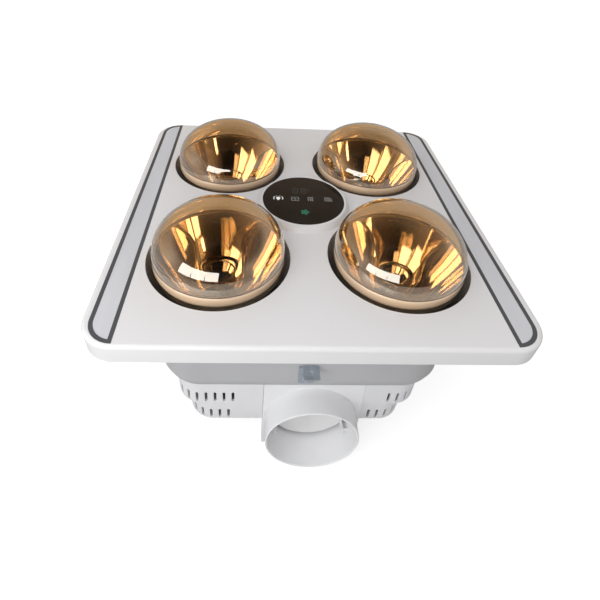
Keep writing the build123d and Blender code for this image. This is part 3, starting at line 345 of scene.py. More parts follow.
@dataclass(frozen=True)
class Mirror:
    """Metal film on the inside of the lamp's body, gold inside and peach-coloured through the glass."""

    name: str
    colour: Colour = (0.95, 0.84, 0.7)
    roughness: float = 0.03
    waves: float = 0.0003

    def material(self) -> bpy.types.Material:
        """Material of the film."""
        r = Recipe(self.name)
        r.set(Metallic=1.0)
        r.link(r.ramp(r.noise(30.0, 3.0), [(0.3, tint(self.colour, 0.85)), (0.7, self.colour)]), "Base Color")
        r.link(r.span(r.noise(80.0, 3.0), 0.3, 0.7, self.roughness * 0.6, self.roughness * 1.6), "Roughness")
        r.bump(r.noise(34.0, 2.0), 0.3, self.waves)
        return r.material


@dataclass(frozen=True)
class RimGlass:
    """Rim band of a lamp: a satin gold film seen through the thick glass of the rim."""

    name: str
    colour: Colour = (0.95, 0.7, 0.47)

    def material(self) -> bpy.types.Material:
        """Material of the rim band."""
        r = Recipe(self.name)
        r.set(Metallic=0.3, Roughness=0.32, Coat_Weight=1.0, Coat_IOR=1.6, Coat_Roughness=0.04)
        tone = r.noise(20.0, 2.0)
        r.link(r.ramp(tone, [(0.3, tint(self.colour, 0.93)), (0.7, tint(self.colour, 1.05))]), "Base Color")
        r.bump(r.noise(40.0, 1.0, (1.0, 1.0, 0.3)), 0.15, 0.0003)
        return r.material


@dataclass(frozen=True)
class Gloss:
    """Black printed lens: deep gloss with the faintest orange peel."""

    name: str
    colour: Colour = (0.008, 0.008, 0.009)

    def material(self) -> bpy.types.Material:
        """Material of the lens."""
        r = Recipe(self.name)
        r.set(Roughness=0.08, IOR=1.5, Coat_Weight=0.6, Coat_Roughness=0.03)
        r.link(r.ramp(r.noise(60.0, 2.0), [(0.3, self.colour), (0.7, tint(self.colour, 1.6))]), "Base Color")
        r.bump(r.noise(420.0, 1.0), 0.05, 0.00006)
        return r.material


@dataclass(frozen=True)
class Print:
    """Screen-printed mark, some with a painted glow: faint, with a slight unevenness."""

    name: str
    colour: Colour
    # emission strength: a painted glow, the marks being unlit prints
    glow: float = 0.0

    def material(self) -> bpy.types.Material:
        """Material of the mark."""
        r = Recipe(self.name)
        r.set(Roughness=0.45, Emission_Color=self.colour, Emission_Strength=self.glow)
        r.link(r.ramp(r.noise(900.0, 3.0), [(0.25, tint(self.colour, 0.8)), (0.75, self.colour)]), "Base Color")
        return r.material


@dataclass(frozen=True)
class Frosted:
    """Frosted light cover: a faint ribbing along the strip under a satin surface."""

    name: str
    colour: Colour = (0.64, 0.645, 0.67)

    def material(self) -> bpy.types.Material:
        """Material of the cover."""
        r = Recipe(self.name)
        r.set(Roughness=0.42, IOR=1.49, Subsurface_Weight=0.15, Subsurface_Radius=(0.004, 0.004, 0.004))
        rib = r.math("SINE", r.math("MULTIPLY", r.axis(0), 4200.0))
        tone = r.noise(24.0, 2.0, (2.0, 0.25, 1.0))
        r.link(r.ramp(tone, [(0.3, tint(self.colour, 0.95)), (0.7, tint(self.colour, 1.05))]), "Base Color")
        r.bump(rib, 0.1, 0.00005)
        r.bump(r.noise(3800.0, 1.0), 0.2, 0.00001)
        return r.material


@dataclass(frozen=True)
class Laminate:
    """Circuit board: weave under a green or white solder mask, with faint tracks."""

    name: str
    colour: Colour

    def material(self) -> bpy.types.Material:
        """Material of the board."""
        r = Recipe(self.name)
        r.set(Roughness=0.35, IOR=1.52, Coat_Weight=0.2)
        track = r.math("SINE", r.math("MULTIPLY", r.axis(1), 2200.0))
        tone = r.math("MULTIPLY", r.math("ADD", track, 1.0), r.noise(140.0, 1.0))
        r.link(r.ramp(tone, [(0.2, tint(self.colour, 0.8)), (0.8, tint(self.colour, 1.25))]), "Base Color")
        r.bump(r.cells(1400.0), 0.2, 0.00003)
        return r.material


@dataclass(frozen=True)
class Glaze:
    """Glazed ceramic: cream, softly glossy, with tiny specks."""

    name: str
    colour: Colour = (0.82, 0.79, 0.7)

    def material(self) -> bpy.types.Material:
        """Material of the ceramic."""
        r = Recipe(self.name)
        r.set(Roughness=0.25, IOR=1.55, Coat_Weight=0.5)
        r.link(r.ramp(r.cells(900.0), [(0.05, tint(self.colour, 0.6)), (0.14, self.colour)]), "Base Color")
        r.bump(r.noise(300.0, 2.0), 0.2, 0.00008)
        return r.material


# Shapes


def new_piece(
    name: str, verts: np.ndarray, faces: list[list[int]], material: bpy.types.Material, body: str = ROOT,
    angle: float = 35.0,
) -> bpy.types.Object:
    """Puts a worked-out surface into the scene, shades it smooth, and lets it ride on its body.

    Args:
        name: name of the piece.
        verts: points, one row each, in metres in the row frame.
        faces: point numbers of each face.
        material: finish of the piece.
        body: body that it moves with.
        angle: edges sharper than this many degrees stay sharp.

    Returns:
        The new object.
    """
    mesh = bpy.data.meshes.new(name)
    mesh.from_pydata(np.asarray(verts, float).tolist(), [], faces)
    mesh.shade_smooth()
    mesh.set_sharp_from_angle(angle=math.radians(angle))
    mesh.materials.append(material)
    mesh.validate()
    piece = bpy.data.objects.new(name, mesh)
    bpy.context.scene.collection.objects.link(piece)
    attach(piece, body)
    log.info("%s: %d faces on %s", name, len(mesh.polygons), body)
    return piece


def band_faces(rows: int, columns: int, closed_rows: bool = False) -> np.ndarray:
    """Quads of a grid of rows that each close on themselves: every point joins the next in its row and the row above.

    Args:
        rows: number of rows.
        columns: points in a row.
        closed_rows: whether the last row joins the first.

    Returns:
        One row of four point numbers for each face.
    """
    i = np.arange(rows if closed_rows else rows - 1)[:, None]
    j = np.arange(columns)[None, :]
    up, on = (i + 1) % rows, (j + 1) % columns
    corners = (i * columns + j, i * columns + on, up * columns + on, up * columns + j)
    return np.stack([np.broadcast_to(c, (len(i), columns)) for c in corners], -1).reshape(-1, 4)


def turned(
    profile: np.ndarray, place: Place, segments: int = SEGMENTS, loop: bool = False
) -> tuple[np.ndarray, list[list[int]]]:
    """Surface of revolution: each (radius, height) of the profile is carried round the upright axis through place, and
    an end on the axis closes in one point.

    Args:
        profile: radius and height of each point, outer side going up.
        place: where the axis stands.
        segments: steps round the axis.
        loop: whether the profile closes on itself.

    Returns:
        Points and faces.
    """
    profile = np.asarray(profile, float)
    on_axis = profile[:, 0] < 1e-7
    rings = profile[~on_axis]
    turn = np.linspace(0, 2 * np.pi, segments, endpoint=False)
    x = place[0] + rings[:, :1] * np.cos(turn)
    y = place[1] + rings[:, :1] * np.sin(turn)
    z = np.broadcast_to(rings[:, 1:], x.shape)
    verts = np.stack([x, y, z], -1).reshape(-1, 3)
    faces = band_faces(len(rings), segments, loop).tolist()
    first = np.arange(segments)
    if on_axis[0]:
        verts = np.vstack([verts, [*place, profile[0, 1]]])
        faces += np.stack([np.full(segments, len(verts) - 1), np.roll(first, -1), first], -1).tolist()
    if on_axis[-1]:
        verts = np.vstack([verts, [*place, profile[-1, 1]]])
        last = first + (len(rings) - 1) * segments
        faces += np.stack([last, np.roll(last, -1), np.full(segments, len(verts) - 1)], -1).tolist()
    return verts, faces


def dome_profile(radius: float, rim: float, top: float, power: float = 2.0, steps: int = 48) -> np.ndarray:
    """Quarter of a superellipse from rim to top: radius is cos and height sin of an angle, each to 2 / power."""
    t = np.linspace(0, np.pi / 2, steps)
    r = radius * np.clip(np.cos(t), 0, 1) ** (2 / power)
    z = rim + (top - rim) * np.sin(t) ** (2 / power)
    r[-1] = 0.0
    return np.stack([r, z], -1)


def curve_profile(points: np.ndarray, steps: int = 16) -> np.ndarray:
    """Smooth line through (radius, height) points: a Catmull-Rom cubic between each pair, with the end chords as its
    end tangents."""
    p = np.asarray(points, float)
    padded = np.vstack([2 * p[0] - p[1], p, 2 * p[-1] - p[-2]])
    t = np.linspace(0, 1, steps, endpoint=False)[:, None]
    pieces = []
    for a, b, c, d in zip(padded, padded[1:], padded[2:], padded[3:]):
        pieces.append(0.5 * (2 * b + (c - a) * t + (2 * a - 5 * b + 4 * c - d) * t**2 + (3 * b - a - 3 * c + d) * t**3))
    return np.vstack([*pieces, p[-1:]])


def slab(outline: np.ndarray, low: float, high: float) -> tuple[np.ndarray, list[list[int]]]:
    """Flat plate: an outline taken counterclockwise, at two heights, with both ends closed."""
    count = len(outline)
    verts = np.vstack([np.c_[outline, np.full(count, low)], np.c_[outline, np.full(count, high)]])
    faces = band_faces(2, count).tolist()
    faces.append(list(range(count))[::-1])
    faces.append(list(range(count, 2 * count)))
    return verts, faces


def joined(parts: list[tuple[np.ndarray, list[list[int]]]]) -> tuple[np.ndarray, list[list[int]]]:
    """Several surfaces as one list of points and one of faces."""
    verts, faces, start = [], [], 0
    for part_verts, part_faces in parts:
        verts.append(part_verts)
        faces += [[start + v for v in face] for face in part_faces]
        start += len(part_verts)
    return np.vstack(verts), faces


def arc(centre: Place, radius: float, start: float, stop: float, steps: int = 24) -> np.ndarray:
    """Points on an arc, angles in degrees."""
    t = np.radians(np.linspace(start, stop, steps))
    return np.stack([centre[0] + radius * np.cos(t), centre[1] + radius * np.sin(t)], -1)


def stroke(path: np.ndarray, width: float) -> np.ndarray:
    """Outline of an open line drawn with a width: the path shifted to its right, then back along its left."""
    step = np.gradient(np.asarray(path, float), axis=0)
    normal = np.stack([step[:, 1], -step[:, 0]], -1) / np.linalg.norm(step, axis=1, keepdims=True)
    return np.vstack([path + normal * width / 2, (path - normal * width / 2)[::-1]])


def soft_shading(angle: float = 30.0) -> bpy.types.NodeTree:
    """Modifier tree for the CAD nodes: joins their loose triangles and shades them smooth up to an angle in degrees."""
    tree = bpy.data.node_groups.new("soft_shading", "GeometryNodeTree")
    tree.interface.new_socket("Geometry", in_out="INPUT", socket_type="NodeSocketGeometry")
    tree.interface.new_socket("Geometry", in_out="OUTPUT", socket_type="NodeSocketGeometry")
    source, target = tree.nodes.new("NodeGroupInput"), tree.nodes.new("NodeGroupOutput")
    weld = tree.nodes.new("GeometryNodeMergeByDistance")
    weld.inputs["Distance"].default_value = 2e-6
    faces = tree.nodes.new("GeometryNodeSetShadeSmooth")
    faces.domain = "FACE"
    edges = tree.nodes.new("GeometryNodeSetShadeSmooth")
    edges.domain = "EDGE"
    edges.inputs["Shade Smooth"].default_value = False
    bend = tree.nodes.new("GeometryNodeInputMeshEdgeAngle")
    sharp = tree.nodes.new("FunctionNodeCompare")
    sharp.data_type = "FLOAT"
    sharp.operation = "GREATER_THAN"
    sharp.inputs[1].default_value = math.radians(angle)
    links = tree.links
    links.new(source.outputs[0], weld.inputs["Geometry"])
    links.new(weld.outputs["Geometry"], faces.inputs["Geometry"])
    links.new(faces.outputs["Geometry"], edges.inputs["Geometry"])
    links.new(bend.outputs["Unsigned Angle"], sharp.inputs[0])
    links.new(sharp.outputs["Result"], edges.inputs["Selection"])
    links.new(edges.outputs["Geometry"], target.inputs[0])
    return tree


SHADING = soft_shading()


def dress(material: bpy.types.Material, *nodes: str) -> None:
    """Gives CAD nodes a finish and smooth shading.

    Args:
        material: the finish.
        nodes: names of the CAD nodes.
    """
    for name in nodes:
        node = frame["nodes"][name]
        node.data.materials.clear()
        node.data.materials.append(material)
        modifier = node.modifiers.new("soft_shading", "NODES")
        modifier.node_group = SHADING
        log.info("%s: dressed in %s", name, material.name)


# Sub-assemblies


@dataclass
class Lamp:
    """One infrared lamp with its cap, filament, reflector cup and holder."""

    corner: Corner
    pitch: float = 172 * MM
    radius: float = 62.5 * MM
    rise: float = 52 * MM
    rim_rise: float = 8 * MM
    band_height: float = 14 * MM
    seam: float = 0.5 * MM
    front_inset: float = 0.3 * MM
    front_steps: int = 64
    dome_power: float = 2.15
    bowl_drop: float = 1.5 * MM
    bowl_depth: float = 62 * MM
    bowl_power: float = 2.3
    glass: float = 1.2 * MM
    wall: float = 2.2 * MM
    neck_radius: float = 19 * MM
    neck_depth: float = 82 * MM
    foot_depth: float = 110 * MM
    throat_radius: float = 12.6 * MM
    throat_wall: float = 1.6 * MM
    throat_lift: float = 0.2 * MM

    @property
    def place(self) -> Place:
        """Where the lamp's axis stands."""
        return self.corner.place(self.pitch)

    @property
    def body(self) -> str:
        """Body of the glass, cap and filament."""
        return f"lamp_{self.corner.label}_bulb"

    @property
    def rim(self) -> float:
        """Height of the rim, where the front glass sits on the band."""
        return FACE_HEIGHT + self.rim_rise

    def front(self, finish: bpy.types.Material) -> bpy.types.Object:
        """Front glass: a thin shell between two superellipse domes, joined by a flat ring at the rim."""
        top, low, radius = FACE_HEIGHT + self.rise, self.rim + self.seam, self.radius - self.front_inset
        outer = dome_profile(radius, low, top, self.dome_power, self.front_steps)
        inner = dome_profile(radius - self.glass, low, top - self.glass, self.dome_power, self.front_steps)[::-1]
        shell = [turned(outer, self.place), turned(inner, self.place)]
        verts, faces = joined(shell)
        ring = np.arange(SEGMENTS)
        start = len(shell[0][0]) + (len(inner) - 2) * SEGMENTS
        faces += np.stack([start + ring, start + np.roll(ring, -1), np.roll(ring, -1), ring], -1).tolist()
        return new_piece(f"lamp_front_{self.corner.label}", verts, faces, finish, self.body, 60.0)

    def band(self, finish: bpy.types.Material) -> bpy.types.Object:
        """Rim band: a turned ring, upright above and drawn in towards the neck below."""
        drawn_in = ((4.6, 14.0), (2.2, 11.6), (0.75, 8.6), (0.35, 5.5), (0.3, 2.0), (0.5, 0.6), (1.0, 0.0))
        outside = curve_profile([(self.radius - inward * MM, self.rim - depth * MM) for inward, depth in drawn_in], 8)
        inside = outside[::-1] - [self.wall, 0.0]
        verts, faces = turned(np.vstack([outside, inside]), self.place, loop=True)
        return new_piece(f"lamp_band_{self.corner.label}", verts, faces, finish, self.body, 50.0)

    def seam_ring(self, finish: bpy.types.Material) -> bpy.types.Object:
        """Dark joint line between band and front glass."""
        out, low, high = self.radius - 0.7 * MM, self.rim - 0.4 * MM, self.rim + self.seam + 0.1 * MM
        profile = np.array([(out, low), (out, high), (out - 1.0 * MM, high), (out - 1.0 * MM, low)])
        verts, faces = turned(profile, self.place, loop=True)
        return new_piece(f"lamp_seam_{self.corner.label}", verts, faces, finish, self.body, 50.0)

    def reflector(self, finish: bpy.types.Material) -> bpy.types.Object:
        """Mirrored body behind the front: its inside is a bowl that starts bowl_drop under the rim, falls further by
        bowl_depth * (1 - (radius / mouth) ** bowl_power) and ends in the neck. Its outside is a smooth cone."""
        base, mouth = FACE_HEIGHT - self.foot_depth, self.radius - self.wall
        waist, neck = self.rim - self.band_height, FACE_HEIGHT - self.neck_depth
        outside = curve_profile(
            [
                (self.throat_radius, base + self.throat_lift),
                (self.throat_radius, base + 7 * MM),
                (self.neck_radius, neck),
                (self.neck_radius + 3 * MM, neck + 14 * MM),
                ((self.radius + self.neck_radius) / 2 + 2 * MM, (waist + neck) / 2),
                (self.radius - 3.4 * MM, waist - 6 * MM),
                (self.radius - 1.6 * MM, waist + 1.0 * MM),
            ],
            12,
        )
        radius = np.linspace(mouth, self.neck_radius - 1.4 * MM, 60)
        height = self.rim - self.bowl_drop - self.bowl_depth * (1 - (radius / mouth) ** self.bowl_power)
        bowl = np.stack([radius, height], -1)
        throat = self.throat_radius - self.throat_wall
        step = (self.neck_radius - 2.4 * MM, height[-1] - 6 * MM)
        pipe = [step, (throat, base + 9 * MM), (throat, base + self.throat_lift)]
        verts, faces = turned(np.vstack([outside, bowl, pipe]), self.place, loop=True)
        piece = new_piece(f"lamp_body_{self.corner.label}", verts, faces, finish, self.body, 60.0)
        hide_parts(f"lamp_glass_{self.corner.label}")
        return piece

    def build(self, finishes: dict[str, bpy.types.Material]) -> None:
        """Builds and dresses the lamp.

        Args:
            finishes: shared materials by name.
        """
        label = self.corner.label
        for piece in (
            self.front(finishes["film_glass"]),
            self.band(finishes["rim_glass"]),
            self.seam_ring(finishes["seam"]),
            self.reflector(finishes["film_mirror"]),
        ):
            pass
        dress(finishes["brass"], f"lamp_cap_{label}")
        dress(finishes["tin"], f"lamp_contact_{label}")
        dress(finishes["wire"], f"lamp_filament_{label}")
        dress(finishes["ceramic"], f"lampholder_{label}")
        cup = Spun(f"spun_cup_{label}", (0.88, 0.85, 0.82), self.place, 0.42, 9000.0, 0.7)
        dress(cup.material(), f"reflector_cup_{label}")


@dataclass
class Face:
    """Face panel with its light strips."""

    def build(self, finishes: dict[str, bpy.types.Material]) -> None:
        """Dresses the panel and strips."""
        dress(finishes["face_white"], "fascia")
        for side in Side:
            dress(finishes["trim"], f"led_bezel_{side.value}")
            dress(finishes["frosted"], f"led_diffuser_{side.value}")
            dress(finishes["board_white"], f"led_board_{side.value}")


@dataclass
class Display:
    """Display lens with its digits and key marks."""

    top: float = FACE_HEIGHT + 7 * MM
    proud: float = 0.06 * MM
    digit_height: float = 9.6 * MM
    digit_width: float = 5.4 * MM
    digit_pitch: float = 9.2 * MM
    digit_x: float = -3.6 * MM
    digit_y: float = 16.5 * MM
    bar: float = 1.1 * MM
    key_y: float = 0.5 * MM
    key_pitch: float = 18.6 * MM
    button_y: float = -23.5 * MM
    button_radius: float = 5.0 * MM

    def plate(self, outline: np.ndarray, at: Place) -> tuple[np.ndarray, list[list[int]]]:
        """One printed mark: an outline set down on the lens, turned counterclockwise."""
        turn = outline[:, 0] @ np.roll(outline[:, 1], -1) - outline[:, 1] @ np.roll(outline[:, 0], -1)
        return slab((outline if turn > 0 else outline[::-1]) + np.array(at), self.top, self.top + self.proud)

    def digit(self, x: float) -> list[tuple[np.ndarray, list[list[int]]]]:
        """Seven unlit bars of one digit, each a slim six-sided plate.

        Args:
            x: centre of the digit.
        """
        w, h, b = self.digit_width / 2, self.digit_height / 2, self.bar / 2
        corners = [(-w, h), (w, h), (w, 0.0), (w, -h), (-w, -h), (-w, 0.0)]
        ends = list(zip(corners, corners[1:] + corners[:1])) + [((-w, 0.0), (w, 0.0))]
        plates = []
        for start, stop in np.array(ends):
            along = (stop - start) / np.linalg.norm(stop - start) * b
            across = np.array([along[1], -along[0]])
            a, z = start + along * 1.2, stop - along * 1.2
            outline = [a, a + along + across, z + across - along, z, z - along - across, a + along - across]
            plates.append(self.plate(np.array(outline), (x, self.digit_y)))
        return plates

    def lamp_mark(self) -> list[np.ndarray]:
        """Outlines of a small bulb between two arcs, in millimetres."""
        bulb = np.vstack([arc((0, 0.9), 2.3, -55, 235, 28), [(-0.9, -2.9), (0.9, -2.9)]])
        sides = [stroke(arc((0, 0.6), 5.0, start, stop, 10), 0.9) for start, stop in ((-28, 40), (140, 208))]
        rays = [stroke(arc((0, 0.6), 4.6, angle - 7, angle + 7, 6), 0.8) for angle in (66, 114)]
        return [bulb, *sides, *rays]

    def panel_mark(self) -> list[np.ndarray]:
        """Outlines of a window of four panes, in millimetres."""
        flats = [stroke(np.array([(-4.3, y), (4.3, y)]), 0.8) for y in (-3.4, 0.0, 3.4)]
        return flats + [stroke(np.array([(x, -3.8), (x, 3.8)]), 0.8) for x in (-4.0, 0.0, 4.0)]

    def air_mark(self, waves: int) -> list[np.ndarray]:
        """Outlines of a frame's two sides with waves of air beside it, in millimetres."""
        t = np.linspace(-3.0, 3.0, 18)
        frame = [stroke(np.array([(-4.0, -3.6), (-4.0, 3.6)]), 0.8), stroke(np.array([(-4.4, 3.6), (2.2, 3.6)]), 0.8)]
        return frame + [
            stroke(np.stack([-1.6 + 2.3 * i + 0.55 * np.sin(t * 2.1), t - 0.6], -1), 0.9) for i in range(waves)
        ]

    def marks(self, outlines: list[np.ndarray], place: int) -> list[tuple[np.ndarray, list[list[int]]]]:
        """Plates of one key mark.

        Args:
            outlines: its outlines in millimetres.
            place: which of the four places it takes, from the left.
        """
        at = ((place - 1.5) * self.key_pitch, self.key_y)
        return [self.plate(outline * MM, at) for outline in outlines]

    def build(self, finishes: dict[str, bpy.types.Material]) -> None:
        """Dresses the lens, and adds digits, key marks and the lobed button mark."""
        dress(finishes["lens"], "display_lens")
        dress(finishes["board_green"], "display_board", "control_board")
        dress(finishes["digit_glass"], "digit_module")
        digits = self.digit(self.digit_x - self.digit_pitch / 2) + self.digit(self.digit_x + self.digit_pitch / 2)
        dot = arc((0, 0), 0.8 * MM, 0, 330, 12)
        dot_at = (self.digit_x + 1.15 * self.digit_pitch, self.digit_y + 0.35 * self.digit_height)
        digits.append(self.plate(dot, dot_at))
        t = np.linspace(0, 2 * np.pi, 96, endpoint=False)
        lobes = self.button_radius * (0.84 + 0.16 * np.cos(5 * t)) * np.array([np.cos(t), np.sin(t)])
        keys = self.marks(self.panel_mark(), 1) + self.marks(self.air_mark(2), 2) + self.marks(self.air_mark(3), 3)
        for name, plates, finish in (
            ("display_digits", digits, "digit_print"),
            # the lamp mark and the button mark carry a painted glow
            ("display_lamp_mark", self.marks(self.lamp_mark(), 0), "painted_glow_print"),
            ("display_keys", keys, "key_print"),
            ("display_button", [self.plate(lobes.T, (0.0, self.button_y))], "button_painted_glow_print"),
        ):
            new_piece(name, *joined(plates), finishes[finish])


@dataclass
class Housing:
    """Ceiling box, vented housing, duct adaptor with its flap, fan casing and the fixings."""

    def build(self, finishes: dict[str, bpy.types.Material]) -> None:
        """Dresses the housing's nodes."""
        # the ceiling box is white plastic; its darker grey paints the shade under the face
        dress(finishes["box_painted_shade_grey"], "ceiling_box")
        dress(finishes["house_white"], "lower_housing", "terminal_box", "terminal_cover")
        dress(finishes["duct_white"], "duct_adaptor")
        dress(finishes["casing_white"], "damper_flap", "scroll_case", "scroll_cover")
        dress(finishes["zinc"], "lamp_chassis", "holder_straps")
        dress(finishes["bracket_zinc"], *(f"clamp_bracket_{s}" for s in ("front", "back", "left", "right")))
        dress(finishes["screw"], "clamp_screws", "housing_screws")
        dress(finishes["ceramic"], "terminal_block")
        dress(finishes["rubber"], "cable_gland", "motor_grommets")


@dataclass
class Fan:
    """Fan wheel and motor."""

    place: Place = (-27 * MM, -5 * MM)

    def build(self, finishes: dict[str, bpy.types.Material]) -> None:
        """Dresses the wheel and motor."""
        dress(finishes["wheel_grey"], "impeller")
        dress(Spun("spun_can", (0.6, 0.6, 0.6), self.place, 0.3, 5000.0).material(), "motor_can", "motor_rotor")
        dress(finishes["copper"], "motor_stator")
        dress(finishes["tin"], "motor_shaft")
        dress(finishes["brass"], "motor_bushes")


@dataclass(frozen=True)
class Pane:
    """Bright window pane of the room, by its edges in degrees to the right of the front and over the horizon."""

    left: float
    right: float
    low: float
    high: float
    strength: float
    colour: Colour = (1.0, 0.98, 0.92)


@dataclass
class Studio:
    """Pale floor, soft lights and the camera of the photograph."""

    camera_place: tuple[float, float, float] = (-52.96 * MM, -430.68 * MM, 309.97 * MM + FACE_HEIGHT)
    camera_right: tuple[float, float, float] = (0.99839, -0.02773, 0.04945)
    camera_down: tuple[float, float, float] = (0.02853, -0.50800, -0.86088)
    camera_forward: tuple[float, float, float] = (0.04899, 0.86091, -0.50640)
    focal_pixels: float = 475.65
    centre_x: float = 280.0
    centre_y: float = 160.0
    sensor: float = 36.0
    clip: Place = (0.01, 60.0)
    fill: float = 0.54
    key: float = 6.6
    key_turn: float = -40.0
    key_height: float = 58.0
    key_distance: float = 2.0
    key_size: Place = (1.4, 1.4)
    floor_reach: float = 12.0
    floor_gap: float = 0.2 * MM
    floor_glow: float = 0.65
    window_side: tuple[float, float, float] = (-0.5, -0.2, 0.85)
    walls: tuple[tuple[float, Colour], ...] = (
        (-180, (0.62, 0.45, 0.29)), (-125, (0.66, 0.52, 0.38)), (-85, (0.95, 0.9, 0.84)), (-62, (0.5, 0.46, 0.42)),
        (-12, (0.05, 0.05, 0.055)), (30, (0.05, 0.05, 0.055)), (60, (0.75, 0.71, 0.66)), (110, (0.85, 0.78, 0.7)),
        (180, (0.62, 0.45, 0.29)),
    )
    heights: tuple[tuple[float, Colour], ...] = (
        (-90, (0.8, 0.8, 0.8)), (-12, (0.8, 0.8, 0.8)), (0, (0.8, 0.78, 0.76)), (24, (0.75, 0.72, 0.68)),
        (36, (0.28, 0.25, 0.22)), (60, (0.1, 0.08, 0.06)), (90, (0.05, 0.035, 0.03)),
    )
    panes: tuple[Pane, ...] = (
        Pane(-23, -10, 27, 56, 3.5, (1.0, 0.9, 0.8)), Pane(-49, -26, 22, 53, 8.5), Pane(-53.5, -51, 20, 50, 4.0),
        Pane(-80, -56, 17, 46, 8.0), Pane(41, 52, 5, 13.5, 8.0), Pane(55, 66, 5, 13.5, 8.0),
        Pane(38.5, 44, 16, 24, 12.0, (1.0, 1.0, 1.0)), Pane(84, 92, 3, 12, 5.0), Pane(-112, -100, 2, 14, 4.0),
    )
    pane_edge: float = 0.8
    passes_from_bowl: float = 3.0
    window_turn: float = -30.0
    window_height: float = 16.5
    window_distance: float = 0.72
    window_pane: Place = (0.21, 0.25)
    window_gap: float = 0.012
    window_power: float = 0.62

    def floor(self) -> None:
        """Large pale floor: one square just under the heater."""
        side, low = self.floor_reach, -self.floor_gap
        mesh = bpy.data.meshes.new("floor")
        corners = [(-side, -side, low), (side, -side, low), (side, side, low), (-side, side, low)]
        mesh.from_pydata(corners, [], [[0, 1, 2, 3]])
        floor = bpy.data.objects.new("floor", mesh)
        bpy.context.scene.collection.objects.link(floor)
        r = Recipe("floor_paper")
        r.set(Roughness=0.9, Specular_IOR_Level=0.2, Emission_Color=(1.0, 1.0, 1.0))
        r.link(r.ramp(r.noise(3.0, 2.0), [(0.3, (0.54, 0.54, 0.54)), (0.7, (0.56, 0.56, 0.56))]), "Base Color")
        seen = r.tree.nodes.new("ShaderNodeLightPath").outputs["Is Camera Ray"]
        r.link(r.math("MULTIPLY", seen, self.floor_glow), "Emission Strength")
        mesh.materials.append(r.material)

    def sky(self) -> None:
        """World of three parts: a white backdrop for the camera, soft fill that is stronger from the window side for
        matt surfaces, and for gloss a room with pale side walls, a tan back, a dark front and ceiling, and windows."""
        world = bpy.data.worlds.new("studio")
        bpy.context.scene.world = world
        world.use_nodes = True
        n = Nodes(world.node_tree)
        nodes, links = n.tree.nodes, n.tree.links
        nodes.clear()
        way = nodes.new("ShaderNodeTexCoord").outputs["Generated"]
        x, y, z = n.axes(way)
        turn = n.math("ARCTAN2", x, n.math("MULTIPLY", y, -1.0))
        rise = n.math("ARCSINE", z)
        half, quarter = math.pi, math.pi / 2
        around = n.ramp(n.span(turn, -half, half, 0.0, 1.0), [(t / 360 + 0.5, c) for t, c in self.walls])
        upward = n.ramp(n.span(rise, -quarter, quarter, 0.0, 1.0), [(t / 180 + 0.5, c) for t, c in self.heights])
        room = self.mixed(n, "MULTIPLY", around, upward)
        passed = nodes.new("ShaderNodeLightPath").outputs["Transmission Depth"]
        through = n.math("GREATER_THAN", passed, self.passes_from_bowl)
        for pane in self.panes:
            room = self.mixed(n, "ADD", room, self.pane(n, turn, rise, through, pane))
        toward = nodes.new("ShaderNodeVectorMath")
        toward.operation = "DOT_PRODUCT"
        toward.inputs[1].default_value = Vector(self.window_side).normalized()
        links.new(way, toward.inputs[0])
        fill_strength = n.span(toward.outputs["Value"], -1.0, 1.0, self.fill * 0.5, self.fill * 1.5)
        seen, fill, glossy = (nodes.new("ShaderNodeBackground") for _ in range(3))
        seen.inputs["Color"].default_value = (1.0, 1.0, 1.0, 1.0)
        fill.inputs["Color"].default_value = (0.99, 0.99, 1.0, 1.0)
        links.new(fill_strength, fill.inputs["Strength"])
        links.new(room, glossy.inputs["Color"])
        path = nodes.new("ShaderNodeLightPath")
        matt, camera = nodes.new("ShaderNodeMixShader"), nodes.new("ShaderNodeMixShader")
        links.new(path.outputs["Is Diffuse Ray"], matt.inputs["Fac"])
        links.new(glossy.outputs["Background"], matt.inputs[1])
        links.new(fill.outputs["Background"], matt.inputs[2])
        links.new(path.outputs["Is Camera Ray"], camera.inputs["Fac"])
        links.new(matt.outputs["Shader"], camera.inputs[1])
        links.new(seen.outputs["Background"], camera.inputs[2])
        out = nodes.new("ShaderNodeOutputWorld")
        links.new(camera.outputs["Shader"], out.inputs["Surface"])

    def mixed(self, n: Nodes, kind: str, a: bpy.types.NodeSocket, b: bpy.types.NodeSocket) -> bpy.types.NodeSocket:
        """Sum or product of two colours, not held at white."""
        node = n.tree.nodes.new("ShaderNodeVectorMath")
        node.operation = kind
        n.tree.links.new(a, node.inputs[0])
        n.tree.links.new(b, node.inputs[1])
        return node.outputs["Vector"]

    def pane(
        self, n: Nodes, turn: bpy.types.NodeSocket, rise: bpy.types.NodeSocket, through: bpy.types.NodeSocket,
        pane: Pane,
    ) -> bpy.types.NodeSocket:
        """Window pane that only the lamps' mirrors show, through their glass, with a soft step at each edge.

        Args:
            n: tree of the world.
            turn: the ray's angle to the right of the front.
            rise: the ray's angle over the horizon.
            through: 1 for rays that come back out of a lamp's bowl.
            pane: the pane's edges, strength and colour.

        Returns:
            The pane's light as a colour socket.
        """
        edge = math.radians(self.pane_edge)
        inside = through
        for value, low, high in ((turn, pane.left, pane.right), (rise, pane.low, pane.high)):
            lo, hi = math.radians(low), math.radians(high)
            for step in (n.span(value, lo - edge, lo + edge, 0.0, 1.0), n.span(value, hi - edge, hi + edge, 1.0, 0.0)):
                inside = n.math("MULTIPLY", inside, step)
        node = n.tree.nodes.new("ShaderNodeCombineXYZ")
        for socket, part in zip(node.inputs, pane.colour):
            n.tree.links.new(n.math("MULTIPLY", inside, part * pane.strength), socket)
        return node.outputs["Vector"]

